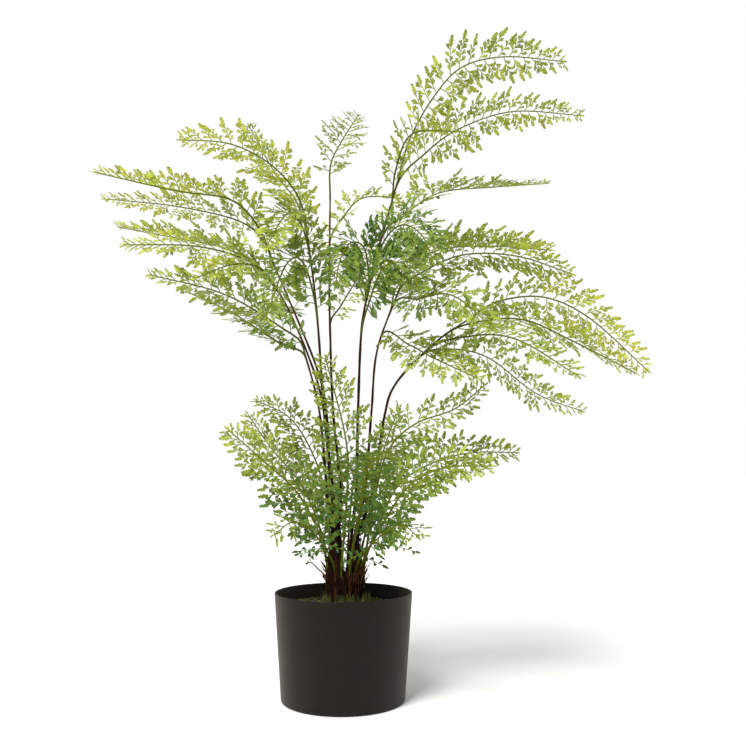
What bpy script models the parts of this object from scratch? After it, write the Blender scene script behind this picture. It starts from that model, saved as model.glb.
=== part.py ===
"""Potted maidenhair fern: a plain pot, potting mix, a fibre crown, leafy stems and low fronds.

Units are metres and +Z is up. The origin is the centre of the pot's flat base.
"""
import math
import random
from collections import namedtuple

import bmesh
import bpy
from mathutils import Vector

FIT_GAP = 0.0004            # clearance left between neighbouring pieces

# Pot
POT_HEIGHT = 0.119
RIM_RADIUS = 0.0795
BASE_RADIUS = 0.0705
WALL = 0.0018
FLOOR = 0.0025
FOOT_ROUND = 0.0025
POT_SIDES = 36

# Potting mix
MIX_TOP = 0.103
MIX_BUMP = 0.0016
MIX_SIDES = 24
MIX_RINGS = [(0.036, 0.0), (0.052, 0.0005), (0.066, 0.002)]     # lumpy rings: radius, dip
MIX_EDGE_DIP = 0.004

# Fibre crown
CROWN_X = 0.0025
PEG_BOTTOM = 0.086
PEG_RADIUS = 0.0205
CLUMP_RINGS = [(0.0195, 0.0175, 0.108), (0.0245, 0.0188, 0.121), (0.0243, 0.0180, 0.139),
               (0.0205, 0.0145, 0.143)]                         # half widths X and Y, height
CLUMP_TOP = CLUMP_RINGS[-1][2]
CLUMP_SIDES = 18
BUNDLE_OFFSET = 0.011
BUNDLE_RINGS = [(0.0084, 0.125), (0.0084, 0.155), (0.0077, 0.172), (0.0068, 0.184)]
BUNDLE_TOP = BUNDLE_RINGS[-1][1]
BUNDLE_SIDES = 10
STRAND_RELIEF = 0.0010
STRAND_TWIST = 6.0                  # radians a metre
STEM_RING = 0.0045                  # ring of tall stems in each bundle
STEM_SINK = 0.028
STEM_SUNK = STEM_SINK + 0.004       # straight length of a stem, through the fibres
STALK_RING = (0.0212, 0.0138)       # oval ring of low stalks round the clump
STALK_FOOT = (0.97, 0.97)           # shares of that ring at a stalk's foot and above the clump
STALK_TOP = (1.06, 1.10)
STALK_SINK = 0.020
STALK_RISE = 0.008
STALK_SUNK = STALK_SINK + 0.012
HOLE_SIDES = 6

# Stems and the bare rachis of a frond
STEM_FOOT_RADIUS = 0.0020
STEM_TIP_RADIUS = 0.0011
STEM_SIDES = 5
STEM_RING_STEP = 0.040
STALK_STEP = 0.030
STALK_HALF = 0.0013
RACHIS_HALF = 0.0010
RACHIS_TIP_HALF = 0.0006
RACHIS_FIRST_STOP = 0.35            # share of the bare rachis up to its first edge point
BRANCH_CLEARANCE = 0.006            # bare rachis ends this far below the first branch
TIGHT_BEND = 0.25                   # bulge that needs an edge point, in half widths of the rachis

# Branches, the leafy side shoots of a frond
BRANCH_ANGLES = (math.radians(70), math.radians(46))    # at the foot and the tip of a frond
BRANCH_COUNTS = {6: (2, 2, 1, 1, 1, 0), 5: (2, 1, 1, 1, 0), 4: (2, 1, 1, 0)}    # leaflets a side
BRANCH_GAPS = (1.25, 0.75)          # relative spacing at the foot and the tip
BRANCH_TAIL = 0.15                  # bare rachis past the last branch, in spacings
BRANCH_STAGGER = 0.45               # left branches stand this share of a spacing further on
BRANCH_SCALE = 1.12
BRANCH_LOSS = 0.70                  # share of its length that a branch loses by the tip
BRANCH_LOSS_POWER = 1.5
LOWEST_BRANCH = 0.86
INSIDE_BEND = 0.55                  # longest branch inside a bend, in bend radii
CROWDING = 0.9
BRANCH_CURL = 1.5                   # how far a branch bends to the tip, per metre squared
BRANCH_DROOP = 1.6                  # how far it bends down, per metre squared
ROOT_HALF = 0.0012                  # half the width that a branch grows from

# Leaflets, in spacings along their branch unless said
LEAF_LEAN = math.radians(55)
LEAF_START = 0.62                   # the first leaflet's place
LEAF_TAIL = 0.85                    # room kept for the leaflet at the end
LEAF_REACH = 0.95
LEAF_REACH_LIMIT = 0.43             # of the spacing between branches
LEAF_HALF = 0.24
LEAF_SLIMNESS = 0.30                # widest half width, of the leaflet's reach
LEAF_LOSS = 0.12                    # each leaflet is this share shorter than the one before
END_HALF = 0.19
END_SLIMNESS = 0.4
TIP_REACH = 0.30                    # of the spacing between branches
NOTCH = 0.42                        # the cut between leaflets reaches the rib here
NOTCH_HALF = 0.0007
RIB_HALF = 0.0007
RIB_TAPER = 0.35

Frond = namedtuple("Frond", "join face bare branch pairs lift route")
Stem = namedtuple("Stem", "bundle turn route fronds")

# Each leafy stem: its bundle (-1 left, 1 right), its place round the bundle in degrees, its route
# above the crown, and its fronds. A frond joins at a share of the stem's length, its upper side
# looks along face, bare is its leafless length, branch its longest branch, and lift raises its
# branches by that many degrees.
STEMS = [
    Stem(-1, 198, [(-0.020, -0.006, 0.235), (-0.030, -0.012, 0.330), (-0.050, -0.015, 0.405)], [
        Frond(0.99, (0.1, 0.5, 0.8), 0.015, 0.040, 5, 10,
              [(-0.075, -0.020, 0.425), (-0.140, -0.040, 0.460), (-0.225, -0.050, 0.480)]),
        Frond(0.93, (0.0, -0.2, 1.0), 0.065, 0.036, 4, 10,
              [(-0.080, 0.010, 0.412), (-0.150, 0.065, 0.462), (-0.210, 0.085, 0.492)]),
    ]),
    Stem(-1, 342, [(-0.015, 0.002, 0.235), (-0.025, 0.006, 0.330), (-0.040, 0.010, 0.385),
                   (-0.070, 0.008, 0.455), (-0.090, 0.005, 0.485)], [
        Frond(1.0, (0.0, -0.1, 1.0), 0.040, 0.042, 5, 38,
              [(-0.110, 0.010, 0.510), (-0.155, 0.035, 0.537), (-0.220, 0.055, 0.555),
               (-0.295, 0.060, 0.570)]),
        Frond(0.97, (0.0, -0.8, 0.5), 0.030, 0.036, 4, 10,
              [(-0.110, -0.030, 0.500), (-0.165, -0.068, 0.508), (-0.245, -0.090, 0.503)]),
        Frond(0.92, (0.2, -0.8, 0.5), 0.035, 0.034, 4, 0,
              [(-0.095, -0.055, 0.485), (-0.120, -0.105, 0.478), (-0.155, -0.150, 0.450)]),
    ]),
    Stem(-1, 126, [(-0.016, 0.012, 0.235), (-0.022, 0.020, 0.330), (-0.035, 0.027, 0.385),
                   (-0.070, 0.030, 0.470), (-0.090, 0.028, 0.515)], [
        Frond(1.0, (0.0, 0.0, 1.0), 0.030, 0.040, 6, 42,
              [(-0.105, 0.005, 0.552), (-0.135, -0.030, 0.576), (-0.195, -0.060, 0.576),
               (-0.285, -0.080, 0.590)]),
        Frond(0.97, (0.0, 0.45, 0.9), 0.035, 0.042, 6, 12,
              [(-0.105, 0.050, 0.550), (-0.140, 0.070, 0.583), (-0.225, 0.095, 0.610),
               (-0.330, 0.110, 0.625)]),
        Frond(0.80, (0.1, -0.4, 0.9), 0.040, 0.036, 4, 8,
              [(-0.070, 0.065, 0.460), (-0.100, 0.120, 0.480), (-0.140, 0.190, 0.465)]),
    ]),
    Stem(-1, 270, [(-0.013, -0.016, 0.235), (-0.024, -0.028, 0.330), (-0.030, -0.032, 0.410),
                   (-0.036, -0.032, 0.470), (-0.045, -0.030, 0.535)], [
        Frond(1.0, (0.2, 0.6, 0.8), 0.030, 0.044, 6, 10,
              [(-0.055, -0.045, 0.575), (-0.085, -0.068, 0.605), (-0.130, -0.086, 0.622),
               (-0.185, -0.100, 0.620)]),
        Frond(0.97, (-0.4, 0.8, 0.3), 0.045, 0.036, 5, 8,
              [(-0.060, 0.000, 0.585), (-0.090, 0.035, 0.635), (-0.130, 0.065, 0.715)]),
        Frond(0.88, (0.0, -0.9, 0.4), 0.030, 0.038, 4, 5,
              [(-0.048, -0.070, 0.530), (-0.062, -0.120, 0.530), (-0.080, -0.175, 0.475)]),
        Frond(0.72, (0.0, -0.9, 0.4), 0.040, 0.038, 4, 0,
              [(-0.045, -0.075, 0.485), (-0.062, -0.118, 0.476), (-0.082, -0.150, 0.405)]),
    ]),
    Stem(-1, 54, [(-0.004, 0.016, 0.235), (-0.014, 0.032, 0.330), (-0.018, 0.038, 0.420),
                  (-0.020, 0.045, 0.495), (-0.020, 0.060, 0.610)], [
        Frond(1.0, (0.1, -0.8, 0.6), 0.045, 0.042, 4, 8,
              [(-0.020, 0.080, 0.665), (-0.005, 0.115, 0.715), (0.020, 0.190, 0.790)]),
        Frond(0.62, (0.2, -0.6, 0.7), 0.045, 0.034, 4, 8,
              [(-0.005, 0.065, 0.470), (0.015, 0.100, 0.512), (0.040, 0.150, 0.570)]),
        Frond(0.86, (-0.1, -0.3, 0.95), 0.035, 0.034, 4, 35,
              [(-0.002, 0.068, 0.590), (0.025, 0.085, 0.622), (0.080, 0.115, 0.632)]),
        Frond(0.78, (0.0, -0.4, 0.9), 0.035, 0.036, 4, 8,
              [(-0.035, 0.085, 0.550), (-0.060, 0.135, 0.580), (-0.090, 0.205, 0.585)]),
    ]),
    Stem(1, 210, [(0.014, -0.010, 0.235), (0.016, -0.015, 0.330), (0.020, -0.015, 0.425),
                  (0.030, -0.015, 0.480), (0.042, -0.010, 0.530), (0.065, 0.000, 0.615)], [
        Frond(1.0, (-0.1, 0.8, 0.5), 0.080, 0.049, 6, 8,
              [(0.080, 0.008, 0.670), (0.110, 0.020, 0.730), (0.150, 0.030, 0.780),
               (0.210, 0.042, 0.803), (0.295, 0.055, 0.805)]),
        Frond(0.97, (0.0, 0.65, 0.75), 0.040, 0.046, 6, 10,
              [(0.105, 0.030, 0.665), (0.155, 0.055, 0.710), (0.230, 0.080, 0.745),
               (0.330, 0.100, 0.750)]),
        Frond(0.93, (0.1, 0.5, 0.85), 0.035, 0.030, 5, 38,
              [(0.060, -0.030, 0.615), (0.075, -0.085, 0.637), (0.115, -0.200, 0.590)]),
        Frond(0.82, (0.0, -0.3, 0.9), 0.040, 0.042, 5, 28,
              [(0.075, 0.030, 0.580), (0.125, 0.062, 0.622), (0.200, 0.088, 0.640),
               (0.285, 0.110, 0.655)]),
        Frond(0.66, (0.0, -0.9, 0.4), 0.025, 0.040, 5, 0,
              [(0.024, -0.045, 0.510), (0.008, -0.065, 0.516), (-0.005, -0.080, 0.493),
               (-0.011, -0.090, 0.456)]),
        Frond(0.75, (0.0, -0.9, 0.4), 0.025, 0.044, 5, 0,
              [(0.050, -0.040, 0.532), (0.068, -0.062, 0.538), (0.087, -0.078, 0.520),
               (0.099, -0.085, 0.486)]),
        Frond(0.56, (0.0, -0.9, 0.4), 0.060, 0.038, 4, 0,
              [(0.030, -0.060, 0.455), (0.041, -0.095, 0.477), (0.058, -0.110, 0.481),
               (0.073, -0.117, 0.466), (0.080, -0.120, 0.442)]),
    ]),
    Stem(1, 90, [(0.025, 0.014, 0.235), (0.033, 0.022, 0.330), (0.040, 0.024, 0.405),
                 (0.065, 0.010, 0.475)], [
        Frond(1.0, (0.0, 0.55, 0.8), 0.020, 0.042, 5, 8,
              [(0.095, -0.018, 0.495), (0.140, -0.038, 0.510), (0.200, -0.055, 0.504),
               (0.262, -0.065, 0.480)]),
        Frond(0.98, (0.0, 0.1, 1.0), 0.038, 0.046, 5, 40,
              [(0.090, 0.032, 0.520), (0.135, 0.055, 0.545), (0.205, 0.070, 0.552),
               (0.280, 0.080, 0.550)]),
        Frond(0.82, (0.0, -0.9, 0.4), 0.050, 0.038, 5, 5,
              [(0.076, -0.030, 0.403), (0.099, -0.062, 0.384), (0.145, -0.100, 0.355)]),
        Frond(0.94, (0.0, -0.9, 0.4), 0.035, 0.040, 4, 0,
              [(0.085, -0.045, 0.455), (0.118, -0.095, 0.448), (0.156, -0.145, 0.400)]),
        Frond(0.90, (-0.1, -0.4, 0.9), 0.035, 0.038, 4, 8,
              [(0.065, 0.060, 0.490), (0.090, 0.115, 0.520), (0.125, 0.190, 0.510)]),
    ]),
    Stem(1, 330, [(0.034, -0.005, 0.235), (0.047, -0.006, 0.320), (0.062, -0.005, 0.362),
                  (0.110, 0.000, 0.412), (0.150, 0.000, 0.440)], [
        Frond(1.0, (0.1, 0.8, 0.55), 0.020, 0.046, 6, 8,
              [(0.190, 0.010, 0.465), (0.250, 0.022, 0.473), (0.310, 0.032, 0.448),
               (0.385, 0.040, 0.382)]),
        Frond(0.90, (0.0, 0.35, 0.95), 0.025, 0.040, 5, 14,
              [(0.160, -0.030, 0.432), (0.205, -0.060, 0.428), (0.255, -0.080, 0.400),
               (0.320, -0.095, 0.362)]),
        Frond(0.80, (0.0, -0.8, 0.6), 0.050, 0.036, 4, 8,
              [(0.145, -0.042, 0.412), (0.185, -0.105, 0.398), (0.235, -0.165, 0.350)]),
        Frond(0.76, (0.0, -0.9, 0.4), 0.030, 0.038, 5, 8,
              [(0.130, 0.030, 0.408), (0.185, 0.062, 0.402), (0.250, 0.080, 0.358),
               (0.315, 0.090, 0.335)]),
    ]),
]

# Each low frond stands on its own stalk: join is its place round the clump, in degrees.
LOW_FRONDS = [
    Frond(350, (0.0, -0.9, 0.4), 0.095, 0.040, 5, 8,
          [(0.035, -0.020, 0.225), (0.050, -0.035, 0.280), (0.080, -0.045, 0.310),
           (0.125, -0.052, 0.327), (0.160, -0.060, 0.355)]),
    Frond(12, (0.0, -0.85, 0.5), 0.055, 0.047, 5, 10,
          [(0.040, 0.008, 0.190), (0.065, 0.020, 0.240), (0.110, 0.032, 0.268),
           (0.160, 0.036, 0.280), (0.215, 0.038, 0.280)]),
    Frond(328, (0.0, -0.9, 0.4), 0.085, 0.040, 5, 8,
          [(0.045, -0.040, 0.200), (0.070, -0.072, 0.240), (0.105, -0.098, 0.260),
           (0.155, -0.125, 0.262)]),
    Frond(307, (0.0, -0.9, 0.4), 0.078, 0.034, 5, 0,
          [(0.036, -0.052, 0.182), (0.060, -0.090, 0.200), (0.078, -0.122, 0.188)]),
    Frond(284, (0.0, 0.6, 0.8), 0.090, 0.038, 4, 0,
          [(0.018, -0.050, 0.215), (0.026, -0.095, 0.262), (0.045, -0.180, 0.278)]),
    Frond(259, (-0.1, -1.0, 0.1), 0.080, 0.047, 5, 5,
          [(0.003, -0.036, 0.225), (0.002, -0.054, 0.290), (-0.022, -0.058, 0.385)]),
    Frond(232, (0.0, -0.9, 0.4), 0.078, 0.034, 5, 0,
          [(-0.030, -0.048, 0.185), (-0.053, -0.080, 0.203), (-0.074, -0.110, 0.190)]),
    Frond(200, (0.0, -0.9, 0.4), 0.055, 0.046, 6, 8,
          [(-0.032, -0.018, 0.195), (-0.055, -0.032, 0.235), (-0.090, -0.046, 0.268),
           (-0.132, -0.055, 0.305)]),
    Frond(166, (0.0, -0.8, 0.6), 0.060, 0.041, 5, 8,
          [(-0.032, 0.020, 0.200), (-0.055, 0.035, 0.245), (-0.090, 0.045, 0.285),
           (-0.122, 0.050, 0.330)]),
    Frond(140, (0.0, -0.8, 0.6), 0.080, 0.041, 5, 8,
          [(-0.022, 0.038, 0.225), (-0.040, 0.056, 0.280), (-0.070, 0.070, 0.325),
           (-0.115, 0.078, 0.348)]),
    Frond(114, (0.2, -0.5, 0.85), 0.055, 0.040, 4, 5,
          [(-0.014, 0.048, 0.195), (-0.035, 0.090, 0.235), (-0.075, 0.155, 0.245)]),
    Frond(84, (0.0, -0.5, 0.85), 0.055, 0.040, 4, 5,
          [(0.008, 0.050, 0.210), (0.014, 0.090, 0.258), (0.020, 0.175, 0.280)]),
    Frond(44, (0.2, -0.9, 0.4), 0.075, 0.036, 4, 8,
          [(0.036, 0.040, 0.225), (0.052, 0.072, 0.290), (0.075, 0.105, 0.345)]),
]


def clear_scene():
    for item in list(bpy.data.objects):
        bpy.data.objects.remove(item, do_unlink=True)


def material(name, colour, roughness):
    made = bpy.data.materials.new(name)
    made.use_nodes = True
    shader = made.node_tree.nodes["Principled BSDF"]
    shader.inputs["Base Color"].default_value = (*colour, 1.0)
    shader.inputs["Roughness"].default_value = roughness
    shader.inputs["Metallic"].default_value = 0.0
    return made


def object_from(bm, name, finish=None):
    """Turn a closed bmesh into a named object with its faces pointing out."""
    bmesh.ops.recalc_face_normals(bm, faces=bm.faces)
    mesh = bpy.data.meshes.new(name)
    bm.to_mesh(mesh)
    bm.free()
    if finish:
        mesh.materials.append(finish)
    made = bpy.data.objects.new(name, mesh)
    bpy.context.scene.collection.objects.link(made)
    return made


def boolean(target, others, operation, solver):
    """Join or cut target with the other objects, apply the result and remove them."""
    group = bpy.data.collections.new("operands")
    for item in others:
        group.objects.link(item)
    step = target.modifiers.new("boolean", "BOOLEAN")
    step.operation = operation
    step.solver = solver
    step.operand_type = "COLLECTION"
    step.collection = group
    seen = bpy.context.evaluated_depsgraph_get()
    mesh = bpy.data.meshes.new_from_object(target.evaluated_get(seen))
    target.modifiers.clear()
    target.data = mesh
    for item in others:
        bpy.data.objects.remove(item, do_unlink=True)
    bpy.data.collections.remove(group)


class Path:
    """A smooth curve through hand-placed points, read by distance along it."""

    SPAN_STEPS = 12
    HEADING_REACH = 0.004
    BEND_REACH = 0.02

    def __init__(self, points, lead=None):
        """The curve leaves its first point along lead, where one is given."""
        points = [Vector(p) for p in points]
        first = points[0] * 2 - points[1]
        if lead is not None:
            first = points[1] - lead.normalized() * (points[1] - points[0]).length * 2
        chain = [first] + points + [points[-1] * 2 - points[-2]]
        self.points = [points[0]]
        for a, b, c, d in zip(chain, chain[1:], chain[2:], chain[3:]):
            for step in range(1, self.SPAN_STEPS + 1):
                self.points.append(self.between(a, b, c, d, step / self.SPAN_STEPS))
        self.reach = [0.0]
        for a, b in zip(self.points, self.points[1:]):
            self.reach.append(self.reach[-1] + (b - a).length)
        self.length = self.reach[-1]

    @staticmethod
    def between(a, b, c, d, t):
        """A Catmull-Rom span from b to c."""
        return 0.5 * (2 * b + (c - a) * t + (2 * a - 5 * b + 4 * c - d) * t ** 2
                      + (3 * b - a - 3 * c + d) * t ** 3)

    def at(self, distance):
        distance = min(max(distance, 0.0), self.length)
        k = 1
        while k < len(self.reach) - 1 and self.reach[k] < distance:
            k += 1
        share = (distance - self.reach[k - 1]) / (self.reach[k] - self.reach[k - 1])
        return self.points[k - 1].lerp(self.points[k], share)

    def heading(self, distance):
        low = max(distance - self.HEADING_REACH, 0.0)
        high = min(distance + self.HEADING_REACH, self.length)
        return (self.at(high) - self.at(low)).normalized()

    def bend(self, distance, side):
        """How sharply the curve turns towards side, as one over its radius."""
        change = (self.heading(distance + self.BEND_REACH)
                  - self.heading(distance - self.BEND_REACH))
        return change.dot(side) / (2 * self.BEND_REACH)

    def frame(self, distance, face):
        """The heading, the upward normal nearest to face, and the right-hand side."""
        ahead = self.heading(distance)
        up = (face - ahead * face.dot(ahead)).normalized()
        return ahead, up, ahead.cross(up)


def tube(path, radius_at, sides, stops):
    """A closed round tube along a path, ringed at each stop, with its radius given by distance."""
    bm = bmesh.new()
    rows = []
    turns = [2 * math.pi * k / sides for k in range(sides)]
    for distance in stops:
        ahead, up, side = path.frame(distance, Vector((0.2, -1.0, 0.1)))
        centre = path.at(distance)
        radius = radius_at(distance)
        rows.append([bm.verts.new(centre + radius * (side * math.cos(t) + up * math.sin(t)))
                     for t in turns])
    skin(bm, rows)
    return bm


def skin(bm, rows):
    """Close a stack of equal rings with triangle strips and flat ends."""
    for low, high in zip(rows, rows[1:]):
        for k in range(len(low)):
            n = (k + 1) % len(low)
            bm.faces.new((low[k], low[n], high[n]))
            bm.faces.new((low[k], high[n], high[k]))
    bm.faces.new(rows[0])
    bm.faces.new(rows[-1])


class Sheet:
    """A thin closed leaf sheet: ridge points stand off both faces, edge points join them."""

    def __init__(self):
        self.bm = bmesh.new()

    def edge(self, point):
        vert = self.bm.verts.new(point)
        return vert, vert

    def ridge(self, point, normal, half):
        return self.bm.verts.new(point + normal * half), self.bm.verts.new(point - normal * half)

    def triangle(self, a, b, c):
        for face in (0, 1):
            self.bm.faces.new((a[face], b[face], c[face]))

    def fan(self, hub, rim):
        for a, b in zip(rim, rim[1:]):
            self.triangle(hub, a, b)


class Branch:
    """One leafy branch in the plane of out and along, bending down as it goes."""

    def __init__(self, origin, out, along, normal, length, leaves, leaf_reach, curl):
        self.origin, self.out, self.along, self.normal = origin, out, along, normal
        self.length, self.leaves, self.leaf_reach, self.curl = length, leaves, leaf_reach, curl

    def point(self, s, t):
        """The place s out from the rachis and t towards the frond's tip."""
        bend = self.curl * s * s
        return (self.origin + self.out * s + self.along * (t + bend)
                - self.normal * BRANCH_DROOP * s * s)

    def grow(self, sheet, hub, foot, crotch):
        """Cut leaflets to the rib on both sides; foot and crotch are where it leaves the rachis."""
        pitch = self.length / (self.leaves + LEAF_TAIL)
        reach = min(LEAF_REACH * pitch, self.leaf_reach)
        half = min(LEAF_HALF * pitch, LEAF_SLIMNESS * reach)
        ribs = [hub]
        for k in range(self.leaves):
            s = pitch * (k + LEAF_START)
            thick = RIB_HALF * (1 - RIB_TAPER * s / self.length)
            ribs.append(sheet.ridge(self.point(s, 0), self.normal, thick))
        ends = []
        for q, root in ((-1, foot), (1, crotch)):
            notch = root
            for k, rib in enumerate(ribs[1:]):
                if k == 0:
                    sheet.triangle(hub, notch, rib)
                s = pitch * (k + LEAF_START)
                grown = reach * (1 - LEAF_LOSS * k)
                tip_s, tip_t = grown * math.cos(LEAF_LEAN), grown * math.sin(LEAF_LEAN)
                wide_s, wide_t = half * math.sin(LEAF_LEAN), half * math.cos(LEAF_LEAN)
                outer = sheet.edge(self.point(s + tip_s - wide_s, q * (tip_t + wide_t)))
                inner = sheet.edge(self.point(s + tip_s + wide_s, q * (tip_t - wide_t)))
                after = sheet.edge(self.point(s + NOTCH * pitch, q * NOTCH_HALF))
                sheet.fan(rib, [notch, outer, inner, after])
                if k + 1 < self.leaves:
                    sheet.triangle(rib, after, ribs[k + 2])
                notch = after
            ends.append(notch)
        lobe = min(END_HALF * pitch, END_SLIMNESS * reach)
        tips = [sheet.edge(self.point(self.length, -lobe)), sheet.edge(self.point(self.length, lobe))]
        sheet.fan(ribs[-1], [ends[0], *tips, ends[1]])


def branch_places(leafy, pairs):
    """Distances of the branch pairs, closer together towards the tip, and their spacing."""
    near, far = BRANCH_GAPS
    gaps = [near + (far - near) * k / pairs for k in range(pairs)]
    unit = leafy / (sum(gaps) + BRANCH_TAIL)
    places = [0.0]
    for gap in gaps[:-1]:
        places.append(places[-1] + gap * unit)
    return places, [gap * unit for gap in gaps]


def branch_length(frond, k, share, turn_in):
    """Branches are longest low on the frond, and kept short inside a bend."""
    length = BRANCH_SCALE * frond.branch * (1 - BRANCH_LOSS * share ** BRANCH_LOSS_POWER)
    if k == 0:
        length *= LOWEST_BRANCH
    if turn_in:
        length = min(length, INSIDE_BEND / turn_in)
    return length


def stalk_stops(sunk, end, step):
    """Distances along a stalk: its foot, where it leaves what holds it, then even steps."""
    count = max(1, round((end - sunk) / step))
    return [0.0] + [sunk + (end - sunk) * k / count for k in range(count + 1)]


def frond_sheet(frond, path, foot_half, sunk):
    """A whole frond: a four-sided rachis, alternate leafy branches and a leafy tip, in one sheet."""
    sheet = Sheet()
    face = Vector(frond.face).normalized()
    leafy = path.length - frond.bare
    places, gaps = branch_places(leafy, frond.pairs)
    bare_stops = stalk_stops(sunk, frond.bare - BRANCH_CLEARANCE, STALK_STEP)
    stops = [(stop, None) for stop in bare_stops]
    for k, (place, gap) in enumerate(zip(places, gaps)):
        stops.append((frond.bare + place, (1, k)))
        stops.append((frond.bare + place + BRANCH_STAGGER * gap, (-1, k)))
    spine = []
    edges = {1: [], -1: []}
    jobs = []
    for stop, (distance, growth) in enumerate(stops):
        ahead, up, side = path.frame(distance, face)
        centre = path.at(distance)
        half = foot_half + (RACHIS_TIP_HALF - foot_half) * distance / path.length
        spine.append(sheet.ridge(centre, up, half))
        if growth is None:
            for q in (1, -1):
                edges[q].append((stop, sheet.edge(centre + side * q * half)))
            continue
        q, k = growth
        low = sheet.edge(centre + side * q * half - ahead * ROOT_HALF)
        high = sheet.edge(centre + side * q * half + ahead * ROOT_HALF)
        edges[q] += [(stop, low), (stop, high)]
        turn_in = max(0.0, path.bend(distance, side) * q)
        if turn_in * gaps[k] ** 2 / 8 > TIGHT_BEND * half:
            edges[-q].append((stop, sheet.edge(centre - side * q * half)))
        share = (distance - frond.bare) / leafy
        angle = BRANCH_ANGLES[0] + (BRANCH_ANGLES[1] - BRANCH_ANGLES[0]) * share
        lift = math.radians(frond.lift)
        outward = side * q * math.cos(lift) + up * math.sin(lift)
        out = ahead * math.cos(angle) + outward * math.sin(angle)
        along = (ahead - out * ahead.dot(out)).normalized()
        normal = out.cross(along) * q
        length = branch_length(frond, k, share, turn_in)
        reach = LEAF_REACH_LIMIT * gaps[k] * (1 - CROWDING * turn_in * length)
        leaves = BRANCH_COUNTS[frond.pairs][k]
        branch = Branch(centre, out, along, normal, length, leaves, reach, BRANCH_CURL)
        jobs.append((branch, stop, low, high))
    start = stops[-1][0]
    ahead, up, side = path.frame(start + BRANCH_CLEARANCE, face)
    tip = Branch(path.at(start), ahead, -side, up, path.length - start, 0,
                 TIP_REACH * gaps[-1], 0.0)
    for branch, stop, low, high in jobs:
        branch.grow(sheet, spine[stop], low, high)
    last = len(stops) - 1
    for q in (1, -1):
        run = edges[q]
        for (m, a), (n, b) in zip(run, run[1:]):
            knit(sheet, spine, m, n, a, b)
    right, left = edges[1][-1], edges[-1][-1]
    for stop, vert in (right, left):
        if stop < last:
            knit(sheet, spine, stop, last, vert, None)
    tip.grow(sheet, spine[last], right[1], left[1])
    top, under = spine[0]
    sheet.bm.faces.new((top, edges[1][0][1][0], under))
    sheet.bm.faces.new((top, edges[-1][0][1][0], under))
    return sheet.bm


def knit(sheet, spine, m, n, a, b):
    """Fill between spine points m to n and the edge points a and b beside them."""
    if m == n:
        return
    turn = n if b is None else (m + n + 1) // 2
    for k in range(m, turn):
        sheet.triangle(a, spine[k], spine[k + 1])
    if b is None:
        return
    sheet.triangle(a, b, spine[turn])
    for k in range(turn, n):
        sheet.triangle(b, spine[k], spine[k + 1])


def stem_path(stem):
    """A leafy stem's course, from inside its bundle to the tip."""
    turn = math.radians(stem.turn)
    x = CROWN_X + stem.bundle * BUNDLE_OFFSET + STEM_RING * math.cos(turn)
    y = STEM_RING * math.sin(turn)
    low = BUNDLE_TOP - STEM_SINK
    return Path([(x, y, low), (x, y, BUNDLE_TOP)] + stem.route)


def stalk_path(frond):
    """A low frond's course, from inside the clump to the tip."""
    turn = math.radians(frond.join)
    x, y = STALK_RING[0] * math.cos(turn), STALK_RING[1] * math.sin(turn)
    low = (CROWN_X + x * STALK_FOOT[0], y * STALK_FOOT[1], CLUMP_TOP - STALK_SINK)
    high = (CROWN_X + x * STALK_TOP[0], y * STALK_TOP[1], CLUMP_TOP + STALK_RISE)
    return Path([low, high] + frond.route)


def stem_radius(path):
    """A stem's radius by distance, thinning evenly to its tip."""
    return lambda d: STEM_FOOT_RADIUS + (STEM_TIP_RADIUS - STEM_FOOT_RADIUS) * d / path.length


def build_leafy_stem(name, stem, finish):
    """A round stem with its fronds sunk into it and fused."""
    path = stem_path(stem)
    stops = stalk_stops(STEM_SUNK, path.length, STEM_RING_STEP)
    made = object_from(tube(path, stem_radius(path), STEM_SIDES, stops), name, finish)
    made.data.shade_smooth()
    fronds = []
    for k, frond in enumerate(stem.fronds):
        start = path.length * frond.join
        route = Path([path.at(start)] + frond.route, lead=path.heading(start))
        sheet = frond_sheet(frond, route, RACHIS_HALF, frond.bare * RACHIS_FIRST_STOP)
        fronds.append(object_from(sheet, "%s_%d" % (name, k)))
    boolean(made, fronds, "UNION", "MANIFOLD")
    return made


def build_low_frond(name, frond, finish):
    """A frond on its own stalk, which stands in the crown."""
    sheet = frond_sheet(frond, stalk_path(frond), STALK_HALF, STALK_SUNK)
    return object_from(sheet, name, finish)


def turned(rings, sides, relief=0.0, twist=0.0, seed=1):
    """A turned body from rings of (half width X, half width Y, centre X, height).

    Relief raises every other line of points into strands, which twist by that many radians a metre.
    """
    draw = random.Random(seed)
    strands = [draw.uniform(0.5, 1.0) * (1 if k % 2 else -1) for k in range(sides)]
    bm = bmesh.new()
    rows = []
    for wide, deep, centre, height in rings:
        row = []
        for k in range(sides):
            turn = 2 * math.pi * k / sides + height * twist
            swell = relief * strands[k]
            row.append(bm.verts.new((centre + (wide + swell) * math.cos(turn),
                                     (deep + swell) * math.sin(turn), height)))
        rows.append(row)
    skin(bm, rows)
    return bm


def build_pot(finish):
    """A plain tapered pot with an even wall, a rounded foot and a soft rim."""
    foot, lip = FOOT_ROUND * 0.3, WALL * 0.3
    profile = [(pot_radius(0) - FOOT_ROUND, 0.0), (pot_radius(0) - foot, foot),
               (pot_radius(FOOT_ROUND), FOOT_ROUND),
               (pot_radius(POT_HEIGHT - lip), POT_HEIGHT - lip),
               (RIM_RADIUS - lip, POT_HEIGHT), (RIM_RADIUS - WALL + lip, POT_HEIGHT),
               (pot_radius(POT_HEIGHT - lip) - WALL, POT_HEIGHT - lip),
               (pot_radius(FLOOR) - WALL, FLOOR)]
    rings = [(radius, radius, 0.0, height) for radius, height in profile]
    made = object_from(turned(rings, POT_SIDES), "pot", finish)
    made.data.shade_smooth()
    made.data.set_sharp_from_angle(angle=math.radians(35))
    return made


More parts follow.
